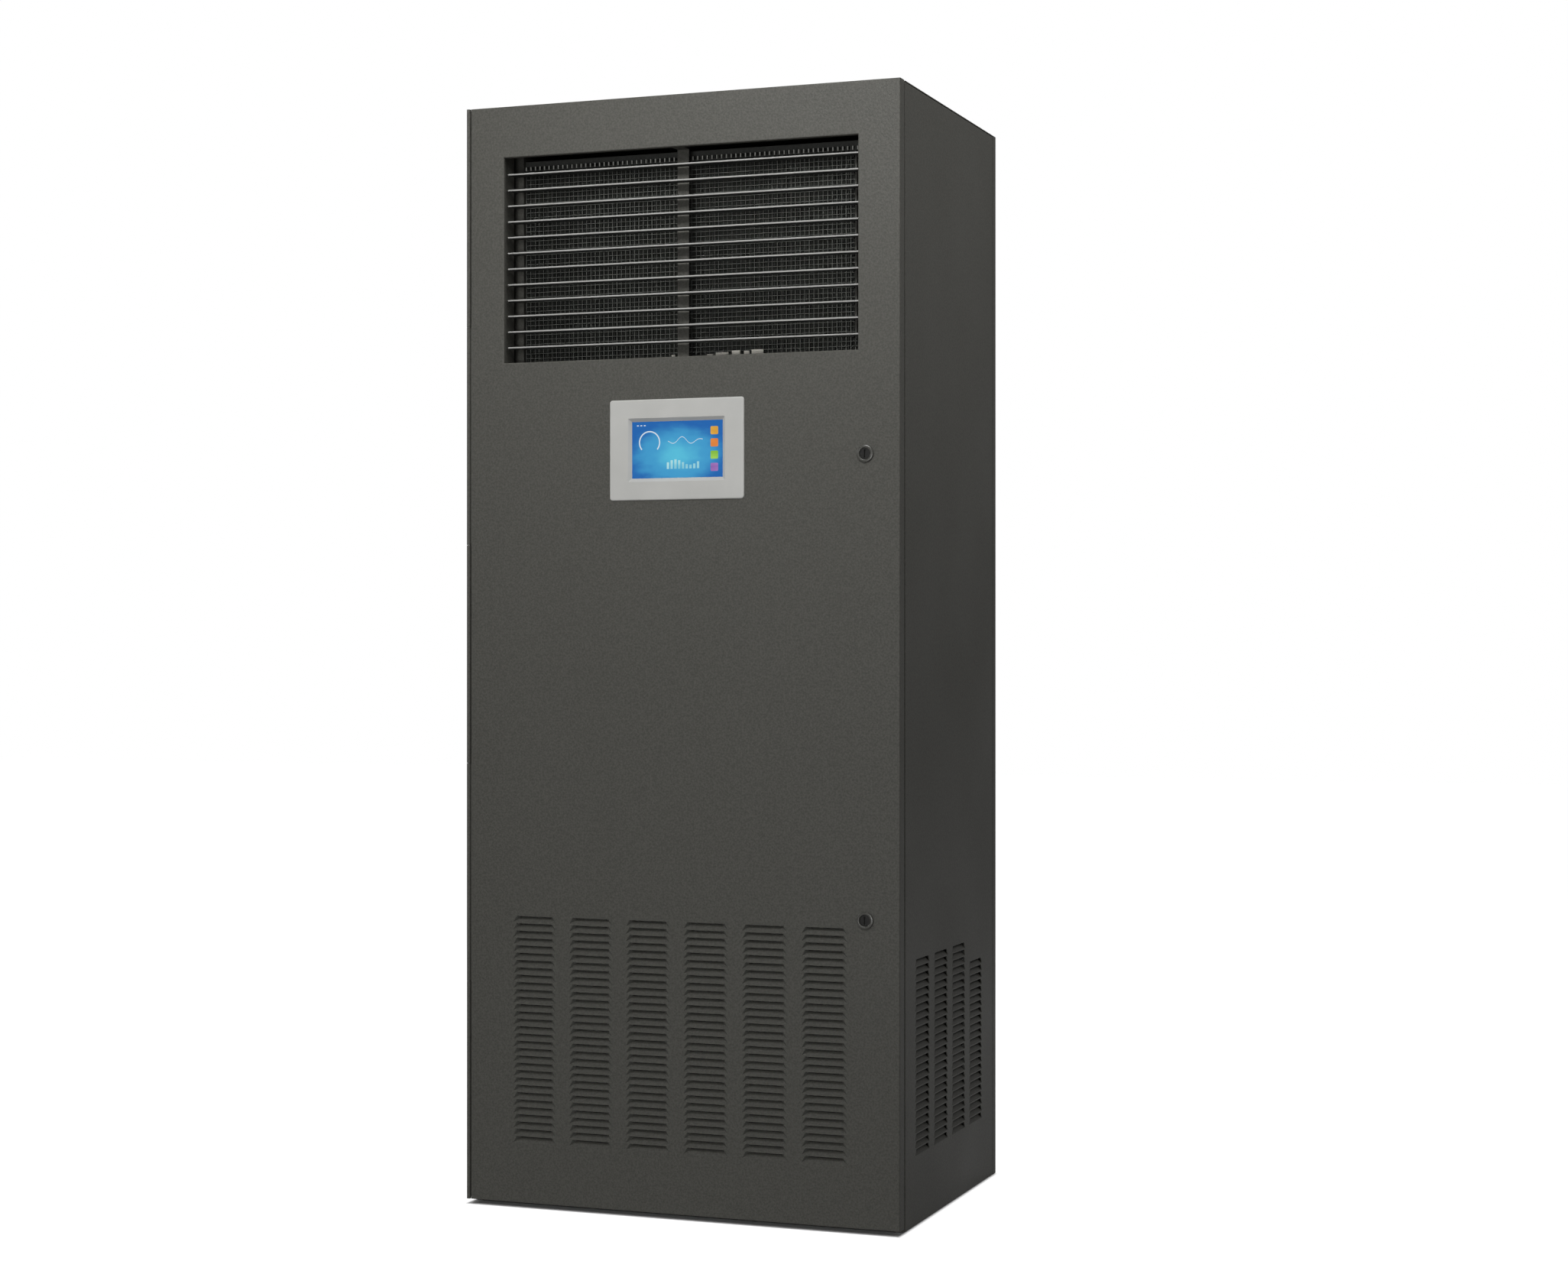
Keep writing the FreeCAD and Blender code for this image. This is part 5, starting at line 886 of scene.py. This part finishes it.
class COOLING_OT_coil(bpy.types.Operator):
    """Cooling coil: close thin fins, wire guard and fin comb on its front, return bends and pan tabs."""

    bl_idname = "cooling.coil"
    bl_label = "Coil"

    def execute(self, context):
        colours, sizes = looks()
        low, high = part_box("evaporator_fins")
        self.add_fins(sizes, low, high)
        front = low.y - 2 * sizes.guard_wire
        self.add_guard(colours, sizes, low, high, front)
        self.add_comb(colours, sizes, low, high, front)
        stand_in("return_bends", return_bends(sizes), "coil_bends", bpy.data.materials["pipe_copper"])
        self.add_tabs(colours)
        return {"FINISHED"}

    def add_fins(self, sizes, low, high):
        """Thin upright sheets at an even pitch, as deep and as high as the coil."""
        x = np.linspace(low.x, high.x - sizes.fin_sheet, int((high.x - low.x) / sizes.fin_pitch))
        fins = blocks(corners(x, low.y, low.z), corners(x + sizes.fin_sheet, high.y, high.z))
        stand_in("fin_pack", fins, "evaporator_fins", bpy.data.materials["coated_fins"])

    def add_guard(self, colours, sizes, low, high, front):
        """Square mesh of wires: upright ones on the coil, and level ones on those."""
        wire = sizes.guard_wire
        uprights = corners(np.arange(low.x, high.x - wire, sizes.guard_pitch), front + wire, low.z)
        levels = corners(low.x, front, np.arange(low.z, high.z - wire, sizes.guard_pitch))
        far = np.vstack([uprights + (wire, wire, high.z - low.z), levels + (high.x - low.x, wire, wire)])
        add_piece("coil_guard", blocks(np.vstack([uprights, levels]), far), "cabinet",
                  textured_coat("guard_coat", colours.fin, roughness=0.45))

    def add_comb(self, colours, sizes, low, high, front):
        """Strip with a row of teeth that spaces the fins along the top of the coil."""
        top = high.z - sizes.comb_drop
        face = front - COMB_SHEET
        strip = blocks(corners(low.x, face, top), corners(high.x, front, high.z))
        add_piece("comb_strip", strip, "cabinet",
                  textured_coat("comb_coat", tint(colours.fin, 0.3), roughness=0.5))
        x = low.x + sizes.comb_pitch * np.arange(int((high.x - low.x) / sizes.comb_pitch))
        teeth = corners(x, face, top - TOOTH_DROP)
        # The teeth's pale colour is a painted highlight for the light dots along the top of the coil.
        add_piece("comb_teeth", blocks(teeth, teeth + TOOTH_SIZE), "cabinet",
                  moulded_plastic("comb_teeth_painted_highlight", colours.comb, roughness=0.4))

    def add_tabs(self, colours):
        """Folded tabs of uneven width and height on the front lip of the drain pan, pale as a painted highlight.
        """
        low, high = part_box("drain_pan")
        x, width, rise = np.array(PAN_TABS).T
        near = corners(x, low.y - TAB_SHEET, high.z - TAB_LAP)
        far = corners(x + width, low.y, high.z + rise)
        add_piece("pan_tabs", blocks(near, far), "cabinet",
                  moulded_plastic("tab_painted_highlight", colours.tab, roughness=0.35))


def louvre_cheeks(sizes, front):
    """Thin triangles between the end of the fold, the upper corner of the cut and the flap's free edge.

    A copy set straight back gives each its thickness. The right end mirrors the left.
    """
    width, columns, rows = sizes.louvre_width, sizes.louvre_columns, sizes.louvre_rows
    rise = math.sqrt(sizes.louvre_cut ** 2 - sizes.louvre_lean ** 2)
    face = np.array([
        (0, CHEEK_INSET, 0),
        (sizes.louvre_corner, CHEEK_INSET, sizes.louvre_cut),
        (sizes.louvre_corner + sizes.cheek_slope, sizes.louvre_lean, rise),
    ])
    left = np.vstack([face, face + (0, sizes.cheek_sheet, 0)])
    right = left * (-1, 1, 1) + (width, 0, 0)
    first = -((columns - 1) * sizes.column_pitch + width) / 2
    lowest = sizes.louvre_top - (rows - 1) * sizes.louvre_pitch - sizes.louvre_cut
    x, z = np.meshgrid(first + sizes.column_pitch * np.arange(columns),
                       lowest + sizes.louvre_pitch * np.arange(rows))
    place = corners(x.ravel(), front, z.ravel())
    points = (place[:, None, None] + np.stack([left, right])).reshape(-1, 3)
    start = len(left) * np.arange(len(points) // len(left))[:, None]
    ends = [start + corner for corner in ((0, 1, 2), (5, 4, 3))]
    sides = [start + corner for corner in ((0, 3, 4, 1), (1, 4, 5, 2), (2, 5, 3, 0))]
    return points, np.vstack(ends).tolist() + np.vstack(sides).tolist()


class COOLING_OT_louvres(bpy.types.Operator):
    """Sloping cheeks that close the two ends of each pressed louvre in the door."""

    bl_idname = "cooling.louvres"
    bl_label = "Louvres"

    def execute(self, context):
        _, sizes = looks()
        cheeks = louvre_cheeks(sizes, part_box("door_panel")[0].y)
        add_piece("door_louvre_cheeks", cheeks, BODY_OF["door_panel"],
                  bpy.data.materials["powder_coat"], sharp=25)
        return {"FINISHED"}


def filter_pleats(count):
    """Rounded zigzag: the arcsine of a sine of slightly less than full height, as a thin sheet."""
    low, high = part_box("filter_media")
    steps = count * PLEAT_STEPS + 1
    x = np.linspace(low.x, high.x, steps)
    phase = np.linspace(0, 2 * math.pi * count, steps)
    fold = np.arcsin(PLEAT_PEAK * np.sin(phase)) / math.asin(PLEAT_PEAK)
    middle = (low.y + high.y) / 2 + fold * ((high.y - low.y) / 2 - MEDIA_SHEET)
    edges = [np.column_stack([x, middle + side]) for side in (-MEDIA_SHEET / 2, MEDIA_SHEET / 2)]
    return ribbon(*edges, (low.z, high.z), 2)


class COOLING_OT_filter(bpy.types.Operator):
    """Stiff filter media folded into close pleats."""

    bl_idname = "cooling.filter"
    bl_label = "Filter"

    def execute(self, context):
        _, sizes = looks()
        felt = bpy.data.materials["filter_felt"]
        stand_in("pleated_media", filter_pleats(sizes.pleat_count), "filter_media", felt)
        return {"FINISHED"}


def seen_share(tree):
    """1 for rays from the camera or through glass, and a small share for reflected rays."""
    path = add_node(tree, "ShaderNodeLightPath").outputs
    direct = work_out(tree, "MAXIMUM", path["Is Camera Ray"], path["Is Transmission Ray"])
    share = work_out(tree, "MULTIPLY_ADD", path["Is Glossy Ray"], GLOSSY_SHARE, direct)
    share.node.use_clamp = True
    return share


class COOLING_OT_stage(bpy.types.Operator):
    """Pale floor, soft studio lamps and the camera at the photographed angle."""

    bl_idname = "cooling.stage"
    bl_label = "Stage"

    def execute(self, context):
        scene = context.scene
        scene.view_settings.view_transform = "Standard"
        self.add_floor(scene)
        self.add_world(scene)
        for lamp in LAMPS:
            self.add_lamp(scene, *lamp)
        self.add_camera(scene)
        return {"FINISHED"}

    def add_floor(self, scene):
        """Flat square just under the base; camera rays see it glow near white, and the glow stops at the object's
        footprint, a painted shade edge, so the floor right under the object keeps only its rendered shade.
        """
        material, tree, shader = start_material("stage_white", roughness=0.9)
        shader.inputs["Base Color"].default_value = (FLOOR_GREY, FLOOR_GREY, FLOOR_GREY, 1)
        shader.inputs["Emission Color"].default_value = WHITE
        _, high = CAD_BOX
        away = add_node(tree, "ShaderNodeVectorMath", {"operation": "ABSOLUTE"}, {0: object_point(tree)})
        axes = add_node(tree, "ShaderNodeSeparateXYZ", links={0: away.outputs[0]}).outputs
        beyond = work_out(tree, "MAXIMUM", work_out(tree, "SUBTRACT", axes["X"], high[0]),
                          work_out(tree, "SUBTRACT", axes["Y"], high[1]))
        # Glow mask: none under the footprint, full glow a few millimetres outside it; this paints the shade edge
        # under the object.
        span = {"From Min": -SHADE_EDGE, "From Max": SHADE_EDGE, "To Max": FLOOR_GLOW}
        footprint_shade_mask = add_node(tree, "ShaderNodeMapRange", span, {"Value": beyond})
        glow = work_out(tree, "MULTIPLY", seen_share(tree), footprint_shade_mask.outputs["Result"])
        tree.links.new(glow, shader.inputs["Emission Strength"])
        mesh = bpy.data.meshes.new("stage_floor")
        reach = FLOOR_REACH
        square = ((-reach, -reach), (reach, -reach), (reach, reach), (-reach, reach))
        mesh.from_pydata([(x, y, -FLOOR_DROP) for x, y in square], [], [(0, 1, 2, 3)])
        mesh.materials.append(material)
        floor = bpy.data.objects.new("stage_floor", mesh)
        scene.collection.objects.link(floor)

    def add_world(self, scene):
        """White behind the object, dimmer in reflections, and a low even light from all round."""
        world = bpy.data.worlds.new("studio")
        world.use_nodes = True
        tree = world.node_tree
        sky = tree.nodes["Background"]
        sky.inputs["Color"].default_value = WHITE
        level = add_node(tree, "ShaderNodeMapRange", {"To Min": WORLD_LIGHT, "To Max": 1.0},
                         {"Value": seen_share(tree)})
        tree.links.new(level.outputs["Result"], sky.inputs["Strength"])
        scene.world = world

    def add_lamp(self, scene, name, place, target, size, power, spread):
        """Rectangular lamp that faces a target, with its beam spread in degrees."""
        light = bpy.data.lights.new(name, "AREA")
        light.shape = "RECTANGLE"
        light.size, light.size_y = size
        light.energy = power
        light.spread = math.radians(spread)
        lamp = bpy.data.objects.new(name, light)
        lamp.location = place
        lamp.rotation_euler = (Vector(target) - Vector(place)).to_track_quat("-Z", "Y").to_euler()
        scene.collection.objects.link(lamp)

    def add_camera(self, scene):
        """Level camera to the right of the front."""
        camera = bpy.data.objects.new("camera", bpy.data.cameras.new("camera"))
        camera.data.lens = LENS
        camera.data.sensor_width = SENSOR_WIDTH
        camera.location = CAMERA_PLACE
        camera.rotation_euler = (math.radians(90), 0, math.radians(CAMERA_TURN))
        scene.collection.objects.link(camera)
        scene.camera = camera


class COOLING_PT_panel(bpy.types.Panel):
    """Lists the steps that dress the air conditioner."""

    bl_idname = "COOLING_PT_panel"
    bl_label = "Precision air conditioner"
    bl_space_type = "VIEW_3D"
    bl_region_type = "UI"
    bl_category = "Cooling"

    def draw(self, context):
        for step in STEPS:
            self.layout.operator(step.bl_idname)


STEPS = (
    COOLING_OT_finishes,
    COOLING_OT_outlet_blades,
    COOLING_OT_display,
    COOLING_OT_locks,
    COOLING_OT_coil,
    COOLING_OT_louvres,
    COOLING_OT_filter,
    COOLING_OT_stage,
)
CLASSES = (CoolingColours, CoolingSizes, *STEPS, COOLING_PT_panel)


def register():
    """Add the classes and the scene's settings."""
    for item in CLASSES:
        bpy.utils.register_class(item)
    bpy.types.Scene.cooling_colours = PointerProperty(type=CoolingColours)
    bpy.types.Scene.cooling_sizes = PointerProperty(type=CoolingSizes)


def unregister():
    """Take the settings and the classes away."""
    del bpy.types.Scene.cooling_sizes
    del bpy.types.Scene.cooling_colours
    for item in reversed(CLASSES):
        bpy.utils.unregister_class(item)


def main():
    """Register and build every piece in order."""
    register()
    bpy.ops.cooling.finishes()
    bpy.ops.cooling.outlet_blades()
    bpy.ops.cooling.display()
    bpy.ops.cooling.locks()
    bpy.ops.cooling.coil()
    bpy.ops.cooling.louvres()
    bpy.ops.cooling.filter()
    bpy.ops.cooling.stage()


if __name__ == "__main__":
    main()
